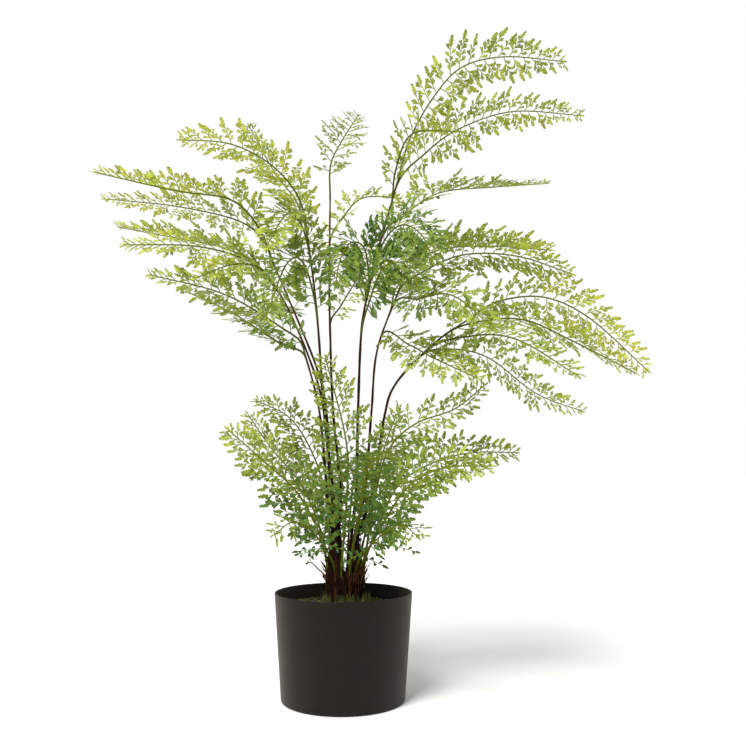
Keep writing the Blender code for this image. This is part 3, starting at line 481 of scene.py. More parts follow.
# Of a frond, the tables give: where it joins, as a share of its stem's length (of a low frond,
# the turn round the crown at which it leaves, in degrees); the way its upper side faces; its
# bare foot's length, its longest branch, the gap between branches and a leaflet's length, all in
# metres; its leaflets' age at the foot and the tip, from 0, fresh and yellow-green, to 1, dark;
# the lift of its branches in degrees; and the points of its course. Of a stem, they give its
# bundle, its turn round that bundle's middle in degrees, its course and its fronds.
Frond = namedtuple("Frond", "join face bare branch gap leaf ages lift route")
Stem = namedtuple("Stem", "bundle turn route fronds")
FRONT = (0.0, -0.9, 0.4)            # forward and a little up
STEMS = [
    Stem(-1, 198, [(-0.020, -0.006, 0.235), (-0.030, -0.012, 0.330), (-0.050, -0.015, 0.405)], [
        Frond(0.99, (0.1, 0.5, 0.8), 0.006, 0.040, 0.0110, 0.0096, (0.8, 0.3), 10,
              [(-0.075, -0.020, 0.425), (-0.140, -0.040, 0.460), (-0.225, -0.050, 0.480)]),
        Frond(0.93, (0.0, -0.2, 1.0), 0.027, 0.036, 0.0120, 0.0086, (0.6, 0.5), 10,
              [(-0.080, 0.010, 0.412), (-0.150, 0.065, 0.462), (-0.210, 0.085, 0.492)]),
    ]),
    Stem(-1, 342, [(-0.015, 0.002, 0.235), (-0.025, 0.006, 0.330), (-0.040, 0.010, 0.385),
                   (-0.070, 0.008, 0.455), (-0.090, 0.005, 0.485)], [
        Frond(1.0, (0.0, -0.1, 1.0), 0.017, 0.040, 0.0115, 0.0096, (0.45, 0.25), 34,
              [(-0.110, 0.010, 0.510), (-0.155, 0.035, 0.537), (-0.220, 0.055, 0.555),
               (-0.295, 0.060, 0.570)]),
        Frond(0.97, (0.0, -0.8, 0.5), 0.013, 0.037, 0.0112, 0.0090, (0.5, 0.3), 10,
              [(-0.110, -0.030, 0.500), (-0.165, -0.068, 0.508), (-0.245, -0.090, 0.503)]),
        Frond(0.92, (0.2, -0.8, 0.5), 0.015, 0.035, 0.0108, 0.0092, (0.5, 0.35), 0,
              [(-0.095, -0.055, 0.485), (-0.120, -0.105, 0.478), (-0.155, -0.150, 0.450)]),
    ]),
    Stem(-1, 126, [(-0.016, 0.012, 0.235), (-0.022, 0.020, 0.330), (-0.035, 0.027, 0.385),
                   (-0.070, 0.030, 0.470), (-0.090, 0.028, 0.515)], [
        Frond(1.0, (0.0, 0.0, 1.0), 0.013, 0.038, 0.0115, 0.0096, (0.5, 0.15), 34,
              [(-0.105, 0.005, 0.552), (-0.135, -0.030, 0.576), (-0.195, -0.060, 0.576),
               (-0.285, -0.080, 0.590)]),
        Frond(0.97, (0.0, 0.45, 0.9), 0.015, 0.040, 0.0140, 0.0085, (0.5, 0.15), 12,
              [(-0.105, 0.050, 0.550), (-0.140, 0.070, 0.583), (-0.225, 0.095, 0.610),
               (-0.330, 0.110, 0.625)]),
        Frond(0.80, (0.1, -0.4, 0.9), 0.017, 0.036, 0.0118, 0.0090, (0.7, 0.5), 8,
              [(-0.070, 0.065, 0.460), (-0.100, 0.120, 0.480), (-0.140, 0.190, 0.465)]),
    ]),
    Stem(-1, 270, [(-0.013, -0.016, 0.235), (-0.024, -0.028, 0.330), (-0.030, -0.032, 0.410),
                   (-0.036, -0.032, 0.470), (-0.045, -0.030, 0.535)], [
        Frond(1.0, (0.2, 0.6, 0.8), 0.013, 0.044, 0.0145, 0.0088, (0.35, 0.05), 10,
              [(-0.055, -0.045, 0.575), (-0.085, -0.068, 0.605), (-0.130, -0.086, 0.622),
               (-0.185, -0.100, 0.620)]),
        Frond(0.97, (-0.4, 0.8, 0.3), 0.019, 0.036, 0.0140, 0.0085, (0.5, 0.55), 8,
              [(-0.060, 0.000, 0.585), (-0.090, 0.035, 0.635), (-0.130, 0.065, 0.715)]),
        Frond(0.88, FRONT, 0.013, 0.040, 0.0100, 0.0098, (0.7, 0.4), 5,
              [(-0.048, -0.070, 0.530), (-0.062, -0.120, 0.530), (-0.080, -0.175, 0.475)]),
        Frond(0.72, FRONT, 0.017, 0.040, 0.0098, 0.0100, (0.8, 0.6), 0,
              [(-0.045, -0.075, 0.485), (-0.062, -0.118, 0.476), (-0.082, -0.150, 0.405)]),
    ]),
    Stem(-1, 54, [(-0.004, 0.016, 0.235), (-0.014, 0.032, 0.330), (-0.018, 0.038, 0.420),
                  (-0.020, 0.045, 0.495), (-0.020, 0.060, 0.610)], [
        Frond(1.0, (0.1, -0.8, 0.6), 0.040, 0.042, 0.0170, 0.0084, (0.6, 0.6), 20,
              [(-0.020, 0.080, 0.665), (-0.005, 0.115, 0.715), (0.020, 0.190, 0.790)]),
        Frond(0.62, (0.2, -0.6, 0.7), 0.019, 0.034, 0.0180, 0.0075, (0.35, 0.35), 8,
              [(-0.005, 0.065, 0.470), (0.015, 0.100, 0.512), (0.040, 0.150, 0.570)]),
        Frond(0.86, (-0.1, -0.3, 0.95), 0.015, 0.034, 0.0160, 0.0080, (0.35, 0.35), 35,
              [(-0.002, 0.068, 0.590), (0.025, 0.085, 0.622), (0.080, 0.115, 0.632)]),
        Frond(0.78, (0.0, -0.4, 0.9), 0.015, 0.036, 0.0150, 0.0080, (0.5, 0.4), 8,
              [(-0.035, 0.085, 0.550), (-0.060, 0.135, 0.580), (-0.090, 0.205, 0.585)]),
    ]),
    Stem(1, 210, [(0.014, -0.010, 0.235), (0.016, -0.015, 0.330), (0.020, -0.015, 0.425),
                  (0.030, -0.015, 0.480), (0.042, -0.010, 0.530), (0.065, 0.000, 0.615)], [
        Frond(1.0, (-0.1, 0.8, 0.5), 0.088, 0.050, 0.0170, 0.0108, (0.4, 0.45), 8,
              [(0.080, 0.008, 0.670), (0.110, 0.020, 0.730), (0.150, 0.030, 0.780),
               (0.210, 0.042, 0.803), (0.295, 0.055, 0.805)]),
        Frond(0.97, (0.0, 0.65, 0.75), 0.030, 0.047, 0.0165, 0.0104, (0.4, 0.4), 10,
              [(0.105, 0.030, 0.665), (0.155, 0.055, 0.710), (0.230, 0.080, 0.745),
               (0.330, 0.100, 0.750)]),
        Frond(0.93, (0.1, 0.5, 0.85), 0.022, 0.032, 0.0150, 0.0078, (0.4, 0.3), 38,
              [(0.060, -0.030, 0.615), (0.075, -0.085, 0.637), (0.115, -0.200, 0.590)]),
        Frond(0.82, (0.0, -0.3, 0.9), 0.017, 0.042, 0.0122, 0.0100, (0.5, 0.5), 30,
              [(0.075, 0.030, 0.580), (0.125, 0.062, 0.622), (0.200, 0.088, 0.640),
               (0.285, 0.110, 0.655)]),
        Frond(0.66, FRONT, 0.010, 0.041, 0.0072, 0.0098, (0.9, 0.75), 0,
              [(0.024, -0.045, 0.510), (0.008, -0.065, 0.516), (-0.005, -0.080, 0.493),
               (-0.011, -0.090, 0.456)]),
        Frond(0.75, FRONT, 0.010, 0.046, 0.0072, 0.0098, (0.9, 0.70), 0,
              [(0.050, -0.040, 0.532), (0.068, -0.062, 0.538), (0.087, -0.078, 0.520),
               (0.099, -0.085, 0.486)]),
        Frond(0.56, FRONT, 0.040, 0.039, 0.0074, 0.0098, (0.9, 0.7), 0,
              [(0.030, -0.060, 0.455), (0.041, -0.095, 0.477), (0.058, -0.110, 0.481),
               (0.073, -0.117, 0.466), (0.080, -0.120, 0.442)]),
    ]),
    Stem(1, 90, [(0.025, 0.014, 0.235), (0.033, 0.022, 0.330), (0.040, 0.024, 0.405),
                 (0.065, 0.010, 0.475)], [
        Frond(1.0, (0.0, 0.55, 0.8), 0.008, 0.044, 0.0130, 0.0104, (0.65, 0.35), 8,
              [(0.095, -0.018, 0.495), (0.140, -0.038, 0.510), (0.200, -0.055, 0.504),
               (0.262, -0.065, 0.480)]),
        Frond(0.98, (0.0, 0.1, 1.0), 0.014, 0.048, 0.0130, 0.0104, (0.5, 0.3), 40,
              [(0.090, 0.032, 0.520), (0.135, 0.055, 0.545), (0.205, 0.070, 0.552),
               (0.280, 0.080, 0.550)]),
        Frond(0.82, FRONT, 0.020, 0.040, 0.0125, 0.0092, (0.55, 0.4), 5,
              [(0.076, -0.030, 0.403), (0.099, -0.062, 0.384), (0.145, -0.100, 0.355)]),
        Frond(0.94, FRONT, 0.015, 0.042, 0.0115, 0.0104, (0.75, 0.5), 0,
              [(0.085, -0.045, 0.455), (0.118, -0.095, 0.448), (0.156, -0.145, 0.400)]),
        Frond(0.90, (-0.1, -0.4, 0.9), 0.015, 0.038, 0.0140, 0.0090, (0.6, 0.5), 8,
              [(0.065, 0.060, 0.490), (0.090, 0.115, 0.520), (0.125, 0.190, 0.510)]),
    ]),
    Stem(1, 330, [(0.034, -0.005, 0.235), (0.047, -0.006, 0.320), (0.062, -0.005, 0.362),
                  (0.110, 0.000, 0.412), (0.150, 0.000, 0.440)], [
        Frond(1.0, (0.1, 0.8, 0.55), 0.008, 0.046, 0.0165, 0.0098, (0.55, 0.05), 8,
              [(0.190, 0.010, 0.465), (0.250, 0.022, 0.473), (0.310, 0.032, 0.448),
               (0.385, 0.040, 0.382)]),
        Frond(0.90, (0.0, 0.35, 0.95), 0.010, 0.042, 0.0130, 0.0098, (0.45, 0.35), 14,
              [(0.160, -0.030, 0.432), (0.205, -0.060, 0.428), (0.255, -0.080, 0.400),
               (0.320, -0.095, 0.362)]),
        Frond(0.80, (0.0, -0.8, 0.6), 0.021, 0.038, 0.0130, 0.0094, (0.6, 0.55), 8,
              [(0.145, -0.042, 0.412), (0.185, -0.105, 0.398), (0.235, -0.165, 0.350)]),
        Frond(0.76, FRONT, 0.013, 0.040, 0.0155, 0.0094, (0.6, 0.45), 8,
              [(0.130, 0.030, 0.408), (0.185, 0.062, 0.402), (0.250, 0.080, 0.358),
               (0.315, 0.090, 0.335)]),
    ]),
]
LOW_FRONDS = [
    Frond(350, FRONT, 0.083, 0.040, 0.0128, 0.0089, (0.86, 0.45), 8,
          [(0.035, -0.020, 0.225), (0.050, -0.035, 0.280), (0.080, -0.045, 0.310),
           (0.125, -0.052, 0.327), (0.160, -0.060, 0.355)]),
    Frond(12, (0.0, -0.85, 0.5), 0.053, 0.047, 0.0107, 0.0103, (0.76, 0.35), 10,
          [(0.040, 0.008, 0.190), (0.065, 0.020, 0.240), (0.110, 0.032, 0.268),
           (0.160, 0.036, 0.280), (0.215, 0.038, 0.280)]),
    Frond(328, FRONT, 0.076, 0.042, 0.0115, 0.0091, (0.91, 0.5), 8,
          [(0.045, -0.040, 0.200), (0.070, -0.072, 0.240), (0.105, -0.098, 0.260),
           (0.155, -0.125, 0.262)]),
    Frond(307, FRONT, 0.068, 0.035, 0.0161, 0.0075, (1.00, 0.6), 0,
          [(0.036, -0.052, 0.182), (0.060, -0.090, 0.200), (0.078, -0.122, 0.188)]),
    Frond(284, (0.0, 0.6, 0.8), 0.079, 0.038, 0.0117, 0.0081, (1.00, 0.7), 0,
          [(0.018, -0.050, 0.215), (0.026, -0.095, 0.262), (0.045, -0.180, 0.278)]),
    Frond(259, (-0.1, -1.0, 0.1), 0.072, 0.049, 0.0126, 0.0086, (0.91, 0.4), 5,
          [(0.003, -0.036, 0.225), (0.002, -0.054, 0.290), (-0.022, -0.058, 0.385)]),
    Frond(232, FRONT, 0.068, 0.035, 0.0161, 0.0073, (1.00, 0.6), 0,
          [(-0.030, -0.048, 0.185), (-0.053, -0.080, 0.203), (-0.074, -0.110, 0.190)]),
    Frond(200, FRONT, 0.053, 0.046, 0.0115, 0.0091, (0.96, 0.35), 8,
          [(-0.032, -0.018, 0.195), (-0.055, -0.032, 0.235), (-0.090, -0.046, 0.268),
           (-0.132, -0.055, 0.305)]),
    Frond(166, (0.0, -0.8, 0.6), 0.057, 0.044, 0.0107, 0.0094, (0.81, 0.25), 8,
          [(-0.032, 0.020, 0.200), (-0.055, 0.035, 0.245), (-0.090, 0.045, 0.285),
           (-0.122, 0.050, 0.330)]),
    Frond(140, (0.0, -0.8, 0.6), 0.072, 0.044, 0.0111, 0.0094, (0.76, 0.4), 8,
          [(-0.022, 0.038, 0.225), (-0.040, 0.056, 0.280), (-0.070, 0.070, 0.325),
           (-0.115, 0.078, 0.348)]),
    Frond(114, (0.2, -0.5, 0.85), 0.053, 0.040, 0.0131, 0.0081, (0.96, 0.6), 5,
          [(-0.014, 0.048, 0.195), (-0.035, 0.090, 0.235), (-0.075, 0.155, 0.245)]),
    Frond(84, (0.0, -0.5, 0.85), 0.053, 0.040, 0.0135, 0.0081, (0.96, 0.6), 5,
          [(0.008, 0.050, 0.210), (0.014, 0.090, 0.258), (0.020, 0.175, 0.280)]),
    Frond(44, (0.2, -0.9, 0.4), 0.068, 0.036, 0.0140, 0.0079, (0.86, 0.5), 8,
          [(0.036, 0.040, 0.225), (0.052, 0.072, 0.290), (0.075, 0.105, 0.345)]),
]

STEM_RING = 0.0045
STEM_SINK = 0.028
STEM_FACE = Vector((0.2, -1.0, 0.1))
STEM_RADIUS = 0.0020
STEM_THINS = 0.0009                 # how much thinner it is at its tip
STEM_KNOTS = 0.00012                # slight swellings along it
STALK_RING = (0.0212, 0.0138)
STALK_SINK = 0.020
STALK_TOP = (1.06, 1.10)
STALK_RISE = 0.008
STALK_RADIUS = 0.0016
RACHIS_RADIUS = 0.0013
TIP_RADIUS = 0.00070
RIB_RADII = (0.00070, 0.00045)
BRANCH_ANGLES = (math.radians(68), math.radians(46))
GAP_LOSS = 0.45                     # how much closer the branches stand at a frond's tip
LEAF_LOSS = 0.25                    # and how much smaller their leaflets are
BRANCH_CURL = 2.2                   # how far a branch bends to the tip, per metre squared
BRANCH_DROOP = 2.4
LEAF_SCALE = 1.24                   # leaflets are this much longer than the tables say, to overlap
LEAFLET_LEAN = math.radians(38)
LEAFLET_PITCH = 0.33                # share of a leaflet's length, on tall stems
LOW_PITCH = 0.44                    # and on low fronds
END_SIZE = 1.18
SPRAY_LENGTH = (0.040, 0.062)
SPRAY_LEAF = 0.0074
SPRAY_PITCH = 0.75
NEAR = 0.004                        # a course is read this far before and after a place


class Path:
    """A smooth curve through given points, read by distance along it."""

    def __init__(self, points, lead=None):
        points = [Vector(p) for p in points]
        first = points[0] * 2 - points[1]
        if lead is not None:
            first = points[1] - lead.normalized() * (points[1] - points[0]).length * 2
        chain = [first] + points + [points[-1] * 2 - points[-2]]
        fine = [points[0]]
        for a, b, c, d in zip(chain, chain[1:], chain[2:], chain[3:]):
            for step in range(1, 17):
                t = step / 16
                fine.append(0.5 * (2 * b + (c - a) * t + (2 * a - 5 * b + 4 * c - d) * t ** 2
                                   + (3 * b - a - 3 * c + d) * t ** 3))
        self.points = np.array([tuple(p) for p in fine])
        steps = np.linalg.norm(np.diff(self.points, axis=0), axis=1)
        self.reach = np.concatenate([[0.0], np.cumsum(steps)])
        self.length = float(self.reach[-1])

    def at(self, distance):
        """The place that far along."""
        return Vector([float(np.interp(distance, self.reach, self.points[:, k])) for k in range(3)])

    def frame(self, distance, face):
        """The heading, the upward normal nearest to face, and the right-hand side."""
        distance = min(max(distance, NEAR), self.length - NEAR)
        ahead = (self.at(distance + NEAR) - self.at(distance - NEAR)).normalized()
        up = (face - ahead * face.dot(ahead)).normalized()
        return ahead, up, ahead.cross(up)


class Shape:
    """Points and faces gathered for one piece, with the numbers its material reads."""

    def __init__(self, *marks):
        self.points, self.faces, self.count = [], [], 0
        self.marks = {name: [] for name in marks}

    def put(self, points, faces, **marks):
        """Add one body, with a value or a row of values for each mark."""
        self.points.append(points)
        self.faces.append(faces + self.count)
        self.count += len(points)
        for name, value in marks.items():
            self.marks[name].append(np.broadcast_to(value, len(points)))

    def piece(self, name, finish, smooth_under):
        """Make the piece from all that was put in."""
        made = piece_from(name, np.concatenate(self.points), np.concatenate(self.faces).tolist(),
                          finish, smooth_under)
        for mark_name, values in self.marks.items():
            mark(made, mark_name, np.concatenate(values))
        return made


def rod(shape, route, radii, sides, face, **marks):
    """A closed round rod through the points of route, in triangles; marks give a value a ring."""
    route = np.asarray(route)
    ahead = np.gradient(route, axis=0)
    ahead /= np.linalg.norm(ahead, axis=1)[:, None]
    side = np.cross(ahead, np.asarray(face))
    side /= np.linalg.norm(side, axis=1)[:, None]
    up = np.cross(ahead, side)
    turns = 2 * np.pi * np.arange(sides) / sides
    ring = side[:, None] * np.cos(turns)[None, :, None] + up[:, None] * np.sin(turns)[None, :, None]
    points = (route[:, None] + ring * np.asarray(radii)[:, None, None]).reshape(-1, 3)
    low = np.arange((len(route) - 1) * sides)
    nxt = low - low % sides + (low + 1) % sides
    skin = np.concatenate([np.stack([low, nxt, nxt + sides], 1),
                           np.stack([low, nxt + sides, low + sides], 1)])
    fan = np.arange(1, sides - 1)
    foot = np.stack([np.zeros_like(fan), fan + 1, fan], 1)
    head = np.stack([np.zeros_like(fan), fan, fan + 1], 1) + (len(route) - 1) * sides
    each = {name: np.repeat(np.broadcast_to(value, len(route)), sides) for name, value in marks.items()}
    shape.put(points, np.concatenate([skin, foot, head]), **each)


def blade(outline, ribs, thick, cup, arch):
    """A thin closed blade from its outline and its midrib, both faces alike."""
    rim = np.array(outline)
    inner = np.array([(u, 0.0) for u in ribs])
    flat = np.concatenate([rim, inner, inner])
    lift = arch * flat[:, 0] ** 2 + cup * flat[:, 1] ** 2
    count = len(rim)
    lift[count:count + len(ribs)] += thick
    lift[count + len(ribs):] -= thick
    near = [min(range(len(ribs)), key=lambda r: abs(ribs[r] - u)) for u, v in outline]
    top = []
    for k in range(count):
        n = (k + 1) % count
        top.append((k, n, count + near[k]))
        step = 1 if near[n] > near[k] else -1
        for r in range(near[k], near[n], step):
            top.append((n, count + r + step, count + r))
    under = [tuple(reversed([v + len(ribs) if v >= count else v for v in face])) for face in top]
    return np.column_stack([flat, lift]), np.array(top + under)


def fan_leaflet(draw, spread, foot):
    """A rounded wedge on a short stalk, its outer edge cut into two or three blunt lobes."""
    # Each lobe: its middle and half width, in shares of the spread, and how far out it reaches.
    if draw.random() < 0.4:
        lobes = [(-0.52, 0.44, draw.uniform(0.90, 1.0)), (0.52, 0.44, draw.uniform(0.82, 0.96))]
    else:
        lobes = [(-0.74, 0.30, draw.uniform(0.80, 0.92)), (0.0, 0.30, 1.0),
                 (0.74, 0.30, draw.uniform(0.80, 0.92))]
    outline = [(0.0, 0.0), (foot, -0.05)]
    ring = [(-1.12, 0.42)]
    for k, (middle, half, reach) in enumerate(lobes):
        ring += [(middle - half, 0.90 * reach), (middle - 0.3 * half, reach),
                 (middle + 0.5 * half, 0.98 * reach), (middle + half, 0.88 * reach)]
        if k < len(lobes) - 1:
            ring.append(((middle + lobes[k + 1][0]) / 2, draw.uniform(0.62, 0.76)))
    for turn, reach in ring + [(1.12, 0.42)]:
        reach *= 1 - foot
        outline.append((foot + reach * math.cos(turn * spread), reach * math.sin(turn * spread)))
    outline.append((foot, 0.05))
    return blade(outline, (0.30, 0.58), 0.022, draw.uniform(-0.6, 0.4), draw.uniform(-0.3, 0.15))


def end_leaflet(draw):
    """The slender leaflet at a branch's end: blunt lobes to left and right in turn, deeply cut."""
    sides = []
    for phase in (0.0, 0.5):
        side = [(0.04 + 0.06 * phase, 0.05)]
        for k, wide in enumerate((0.20, 0.22, 0.16)):
            u, wide = 0.04 + 0.25 * (k + phase), wide * draw.uniform(0.8, 1.15)
            side += [(u + 0.15, wide), (u + 0.24, wide * 1.02), (u + 0.26, wide * 0.55)]
        sides.append(side)
    outline = [(0.0, 0.0)] + [(u, -v) for u, v in sides[0]] + [(0.93, -0.13), (1.0, -0.07), (1.01, 0.04)]
    outline += reversed(sides[1])
    return blade(outline, (0.12, 0.34, 0.58, 0.82), 0.015, draw.uniform(-0.5, 0.2),
                 draw.uniform(-0.2, 0.1))


# Leaflets are drawn a unit long. Early ones are wide fans, later ones narrower and longer stalked.
draw = random.Random(5)
FANS = [fan_leaflet(draw, math.radians(30 - 0.8 * k), 0.20 - 0.01 * k) for k in range(14)]
ENDS = [end_leaflet(draw) for k in range(6)]


def put_leaflet(leaves, model, foot, ahead, normal, length, **marks):
    """Set one leaflet with its stalk at foot."""
    points, faces = model
    side = np.cross(normal, ahead)
    placed = foot + length * (points[:, :1] * ahead + points[:, 1:2] * side + points[:, 2:] * normal)
    leaves.put(placed, faces, span=points[:, 0], **marks)


def unit(vector):
    """The vector at a length of one."""
    return vector / np.linalg.norm(vector)


def grow_branch(stems, leaves, draw, origin, out, along, normal, length, size, age, share,
                pitch):
    """One branch: its thin axis, its alternate leaflets and the lobed one at its end."""
    droop = BRANCH_DROOP * draw.uniform(0.6, 1.5)
    curl = BRANCH_CURL * draw.uniform(0.5, 1.4)

    def at(s):
        """The place that far along the branch, which bends to the tip and hangs a little."""
        return origin + out * s + along * curl * s * s - normal * droop * s * s

    end = min(END_SIZE * size, 0.50 * length) * draw.uniform(0.88, 1.12)
    axis = length - end * 0.85
    stops = np.linspace(0, axis + end * 0.15, 5)
    rod(stems, [at(s) for s in stops], np.linspace(*RIB_RADII, 5), 3, normal, rise=1 - 0.22 * age)
    first_leaf = 0.45 * size
    count = max(0, round((axis - first_leaf) / (pitch * size)))
    hand = draw.choice((-1, 1))
    for k in range(count):
        s = first_leaf + (axis - first_leaf) * k / count
        heading = unit(at(s + 0.001) - at(s - 0.001))
        across = np.cross(normal, heading)
        hand = -hand
        lean = LEAFLET_LEAN * draw.uniform(0.8, 1.2)
        ahead = heading * math.cos(lean) + across * hand * math.sin(lean)
        ahead = unit(ahead + normal * draw.gauss(0, 0.22))
        face = normal + across * draw.gauss(0, 0.25)
        face = unit(face - ahead * face.dot(ahead))
        reach = min(size, 0.42 * length) * (1.0 - 0.15 * k / count) * draw.uniform(0.80, 1.10)
        kind = min(max(round(share * len(FANS) + draw.gauss(0, 3)), 0), len(FANS) - 1)
        put_leaflet(leaves, FANS[kind], at(s), ahead, face, reach,
                    age=age + draw.gauss(0, 0.05), tint=draw.random())
    heading = unit(at(axis) - at(axis - 0.001))
    put_leaflet(leaves, draw.choice(ENDS), at(axis) - heading * 0.0006, heading, normal, end,
                age=age - 0.08, tint=draw.random())


def grow_frond(stems, leaves, draw, frond, path, foot_radius, pitch):
    """A rachis with its branches, from the first leaves to the tip."""
    face = Vector(frond.face).normalized()
    stops = np.linspace(0, path.length - NEAR, max(8, int(path.length / 0.006)))
    radii = foot_radius + (TIP_RADIUS - foot_radius) * (stops / path.length) ** 0.8
    rise = np.linspace(0.62, 0.85, len(stops))
    rod(stems, [tuple(path.at(s)) for s in stops], radii, 6, path.frame(path.length / 2, face)[1], rise=rise)
    leafy = path.length - frond.bare
    place = 0.0
    while place < leafy - 0.006:
        share = place / leafy
        gap = frond.gap * (1 - GAP_LOSS * share ** 2)
        for q in (1, -1):
            distance = frond.bare + place + (gap * 0.5 if q < 0 else 0.0)
            distance = min(distance + draw.gauss(0, 0.0006), path.length - NEAR)
            ahead, up, side = path.frame(distance, face)
            angle = BRANCH_ANGLES[0] + (BRANCH_ANGLES[1] - BRANCH_ANGLES[0]) * share + draw.gauss(0, 0.11)
            lift = math.radians(frond.lift) + draw.gauss(0, 0.18)
            outward = side * q * math.cos(lift) + up * math.sin(lift)
            out = ahead * math.cos(angle) + outward * math.sin(angle)
            along = (ahead - out * ahead.dot(out)).normalized()
            normal = (out.cross(along) * q).normalized()
            length = frond.branch * min(1.0, 0.62 + 1.2 * share) * (1 - 0.80 * share ** 2.5)
            length *= draw.uniform(0.80, 1.12)
            size = LEAF_SCALE * frond.leaf * (1 - LEAF_LOSS * share)
            age = frond.ages[0] + (frond.ages[1] - frond.ages[0]) * share + draw.gauss(0, 0.05)
            grow_branch(stems, leaves, draw, np.array(path.at(distance)), np.array(out),
                        np.array(along), np.array(normal), length, size, age, share, pitch)
        place += gap
    # One last small branch ends the rachis.
    ahead, up, side = path.frame(path.length - NEAR, face)
    grow_branch(stems, leaves, draw, np.array(path.at(path.length - 0.012)), np.array(ahead),
                np.array(side), np.array(up), 0.014, 0.6 * frond.leaf, frond.ages[1], 1.0, pitch)


def grow_sprays(stems, leaves, draw, frond, path):
    """Two short branches low on a stalk, spread round the clump with their flat side out."""
    turn = math.radians(frond.join)
    outward = np.array((math.cos(turn), math.sin(turn), 0.0))
    for side in (1, -1):
        around = np.array((-math.sin(turn), math.cos(turn), 0.0)) * side
        out = unit(0.9 * around + 0.3 * outward + np.array((0.0, 0.0, draw.uniform(-0.35, 0.15))))
        normal = unit(outward - out * outward.dot(out))
        down = np.cross(out, normal) * side
        origin = np.array(path.at(frond.bare * draw.uniform(0.75, 1.25)))
        grow_branch(stems, leaves, draw, origin, out, down, normal, draw.uniform(*SPRAY_LENGTH),
                    SPRAY_LEAF, frond.ages[0] + 0.1, 0.0, SPRAY_PITCH)


def stem_path(stem):
    """A leafy stem's course, from inside its bundle to the tip."""
    turn = math.radians(stem.turn)
    x = CROWN_X + stem.bundle * BUNDLE_OFFSET + STEM_RING * math.cos(turn)
    y = STEM_RING * math.sin(turn)
    return Path([(x, y, CROWN_TOP - STEM_SINK), (x, y, CROWN_TOP)] + stem.route)


def stalk_path(frond):
    """A low frond's course, from inside the clump to the tip."""
    turn = math.radians(frond.join)
    x, y = STALK_RING[0] * math.cos(turn), STALK_RING[1] * math.sin(turn)
    low = (CROWN_X + x * 0.97, y * 0.97, CLUMP_TOP - STALK_SINK)
    high = (CROWN_X + x * STALK_TOP[0], y * STALK_TOP[1], CLUMP_TOP + STALK_RISE)
    return Path([low, high] + frond.route)


# Polished stipe: smooth and hard, with a faint gloss. Its colour follows the mark "rise": almost
# black at a stem's foot (0), red-brown higher up (to 0.5), olive on a rachis (0.62 to 0.85) and
# as yellow-green as the leaflets on the ribs (near 1).
stipe_skin, tree = finish_named("polished_stipe")
rise = add(tree, "Attribute", attribute_name="rise").outputs["Fac"]
colour = add(tree, "ValToRGB", {"Fac": rise},
             stops=[(0.0, "#1C100B"), (0.25, "#2E1A12"), (0.42, "#48301A"), (0.60, "#4B540F"),
                    (0.80, "#6A761B"), (1.0, "#A6B040")])
surface(tree, {"Base Color": colour.outputs["Color"], "Roughness": 0.55, "Specular IOR Level": 0.06})

# Maidenhair leaflet: thin, soft and almost matt. By the mark "age", young ones are yellow-green and old ones
# deep green. By "tint", each is a little lighter or darker than the next. By "span", the place along a
# leaflet, its outer edge is darker, which is painted shade for the curl of its edge and tip.
frond_leaf, tree = finish_named("maidenhair_leaflet")
age = add(tree, "Attribute", attribute_name="age").outputs["Fac"]
tint = add(tree, "Attribute", attribute_name="tint").outputs["Fac"]
colour = add(tree, "ValToRGB", {"Fac": age},
             stops=[(0.0, "#C8C944"), (0.3, "#AAB43A"), (0.55, "#869833"), (0.8, "#627E2B"),
                    (1.0, "#446827")])
span = add(tree, "Attribute", attribute_name="span").outputs["Fac"]
bright = add(tree, "MapRange", {"Value": tint, "To Min": 0.78, "To Max": 1.28})
# Painted shade: past 0.70 of a leaflet's length, its brightness falls to 0.55 at the outer edge, standing
# for the shade on curled edges and tips.
edge = add(tree, "MapRange", {"Value": span, "From Min": 0.70, "To Min": bright.outputs["Result"],
                              "To Max": 0.55})
shade = add(tree, "HueSaturation",
            {"Color": colour.outputs["Color"], "Value": edge.outputs["Result"]})
surface(tree, {"Base Color": shade.outputs["Color"], "Roughness": 0.55, "Specular IOR Level": 0.25})


def leafy_piece(stems, leaves, node):
    """Turn one node's stems and leaflets into two pieces that stand for it."""
    for shape, kind, finish, smooth_under in ((stems, "stipes", stipe_skin, 60),
                                              (leaves, "leaflets", frond_leaf, 40)):
        made = shape.piece(node + "_" + kind, finish, smooth_under)
        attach(made, "root")
        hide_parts(node)


for n, stem in enumerate(STEMS):
    draw = random.Random(100 + n)
    stems, leaves = Shape("rise"), Shape("age", "tint", "span")
    path = stem_path(stem)
    stops = np.linspace(0, path.length, int(path.length / 0.008))
    share = stops / path.length
    radii = STEM_RADIUS - STEM_THINS * share + STEM_KNOTS * np.sin(stops * 170 + n)
    rod(stems, [tuple(path.at(s)) for s in stops], radii, 10, STEM_FACE, rise=share * 0.5)
    for frond in stem.fronds:
        start = path.length * frond.join
        lead = path.frame(start, STEM_FACE)[0]
        route = Path([path.at(start)] + frond.route, lead=lead)
        grow_frond(stems, leaves, draw, frond, route, RACHIS_RADIUS, LEAFLET_PITCH)
    leafy_piece(stems, leaves, "leafy_stem_%d" % (n + 1))

for n, frond in enumerate(LOW_FRONDS):
    draw = random.Random(200 + n)
    stems, leaves = Shape("rise"), Shape("age", "tint", "span")
    path = stalk_path(frond)
    grow_frond(stems, leaves, draw, frond, path, STALK_RADIUS, LOW_PITCH)
    grow_sprays(stems, leaves, draw, frond, path)
    leafy_piece(stems, leaves, "low_frond_%02d" % (n + 1))

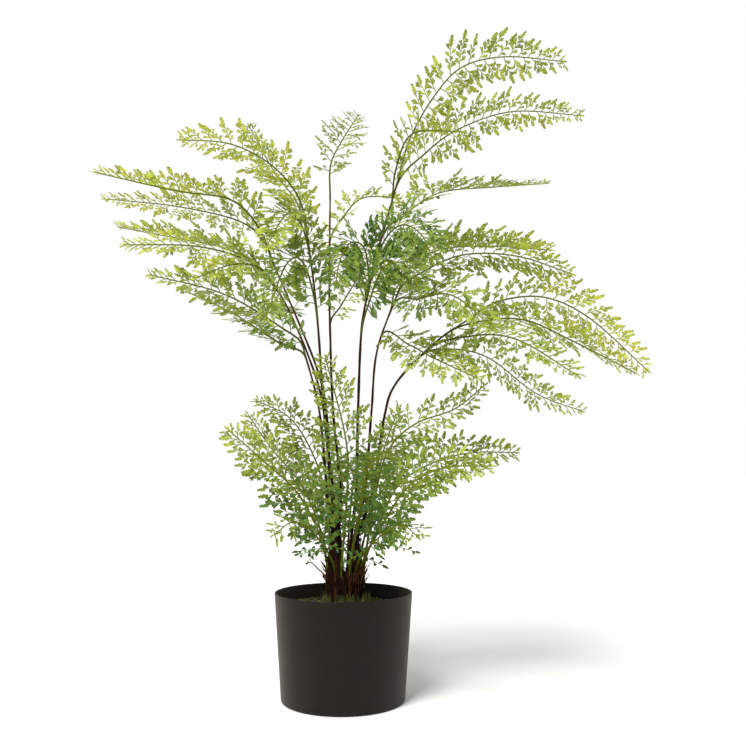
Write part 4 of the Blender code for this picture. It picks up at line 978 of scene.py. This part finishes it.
# Studio. A plain pale sheet of paper in a soft white room, with a broad lamp above, in front and
# to the left. The camera stands low and looks a little up, as one would at a plant on a shelf.
FLOOR_REACH = 60.0
PAPER_THICK = 0.001
ROOM_LIGHT = (0.22, 0.75)           # from in front of the plant and from behind it
LAMP_STRENGTH = 3.2
LAMP_WIDTH = math.radians(22)
LAMP_TURN = (math.radians(38), 0.0, math.radians(-32))
CAMERA_PLACE = (0.0, -0.95, 0.254)
CAMERA_TURN = math.radians(2.05)
CAMERA_PITCH = math.radians(7.33)
CAMERA_LENS_MM = 38.56
CAMERA_SENSOR_MM = 36

# Matt paper: pale and without gloss, so the pot's shadow falls softly on it.
paper, tree = finish_named("pale_paper")
surface(tree, {"Base Color": linear("#F8F8F6"), "Roughness": 0.95})
corners = [(-1, -1), (1, -1), (1, 1), (-1, 1)]
points = [(x * FLOOR_REACH, y * FLOOR_REACH, height) for height in (-PAPER_THICK, 0.0) for x, y in corners]
faces = ring_faces(0, 2, 4)
floor = piece_from("paper_floor", points, faces, paper)

# The room's light is stronger from behind the plant, and its wall is plain white in view.
world = bpy.data.worlds.new("soft_room")
world.use_nodes = True
tree = world.node_tree
way = add(tree, "SeparateXYZ", {"Vector": add(tree, "TexCoord").outputs["Generated"]})
room = add(tree, "MapRange", {"Value": way.outputs["Y"], "From Min": -0.8, "From Max": 0.4,
                              "To Min": ROOM_LIGHT[0], "To Max": ROOM_LIGHT[1]})
seen = add(tree, "LightPath").outputs["Is Camera Ray"]
strength = add(tree, "MapRange", {"Value": seen, "To Min": room.outputs["Result"], "To Max": 1.0})
tree.nodes["Background"].inputs["Color"].default_value = linear("#FFFFFF")
tree.links.new(strength.outputs["Result"], tree.nodes["Background"].inputs["Strength"])
bpy.context.scene.world = world
bpy.context.scene.view_settings.view_transform = "Standard"

lamp_light = bpy.data.lights.new("key_lamp", "SUN")
lamp_light.energy = LAMP_STRENGTH
lamp_light.angle = LAMP_WIDTH
lamp = bpy.data.objects.new("key_lamp", lamp_light)
lamp.rotation_euler = LAMP_TURN
bpy.context.scene.collection.objects.link(lamp)

camera_data = bpy.data.cameras.new("camera")
camera_data.lens = CAMERA_LENS_MM
camera_data.sensor_width = CAMERA_SENSOR_MM
camera = bpy.data.objects.new("camera", camera_data)
camera.location = CAMERA_PLACE
camera.rotation_euler = (math.pi / 2 + CAMERA_PITCH, 0.0, -CAMERA_TURN)
bpy.context.scene.collection.objects.link(camera)
bpy.context.scene.camera = camera
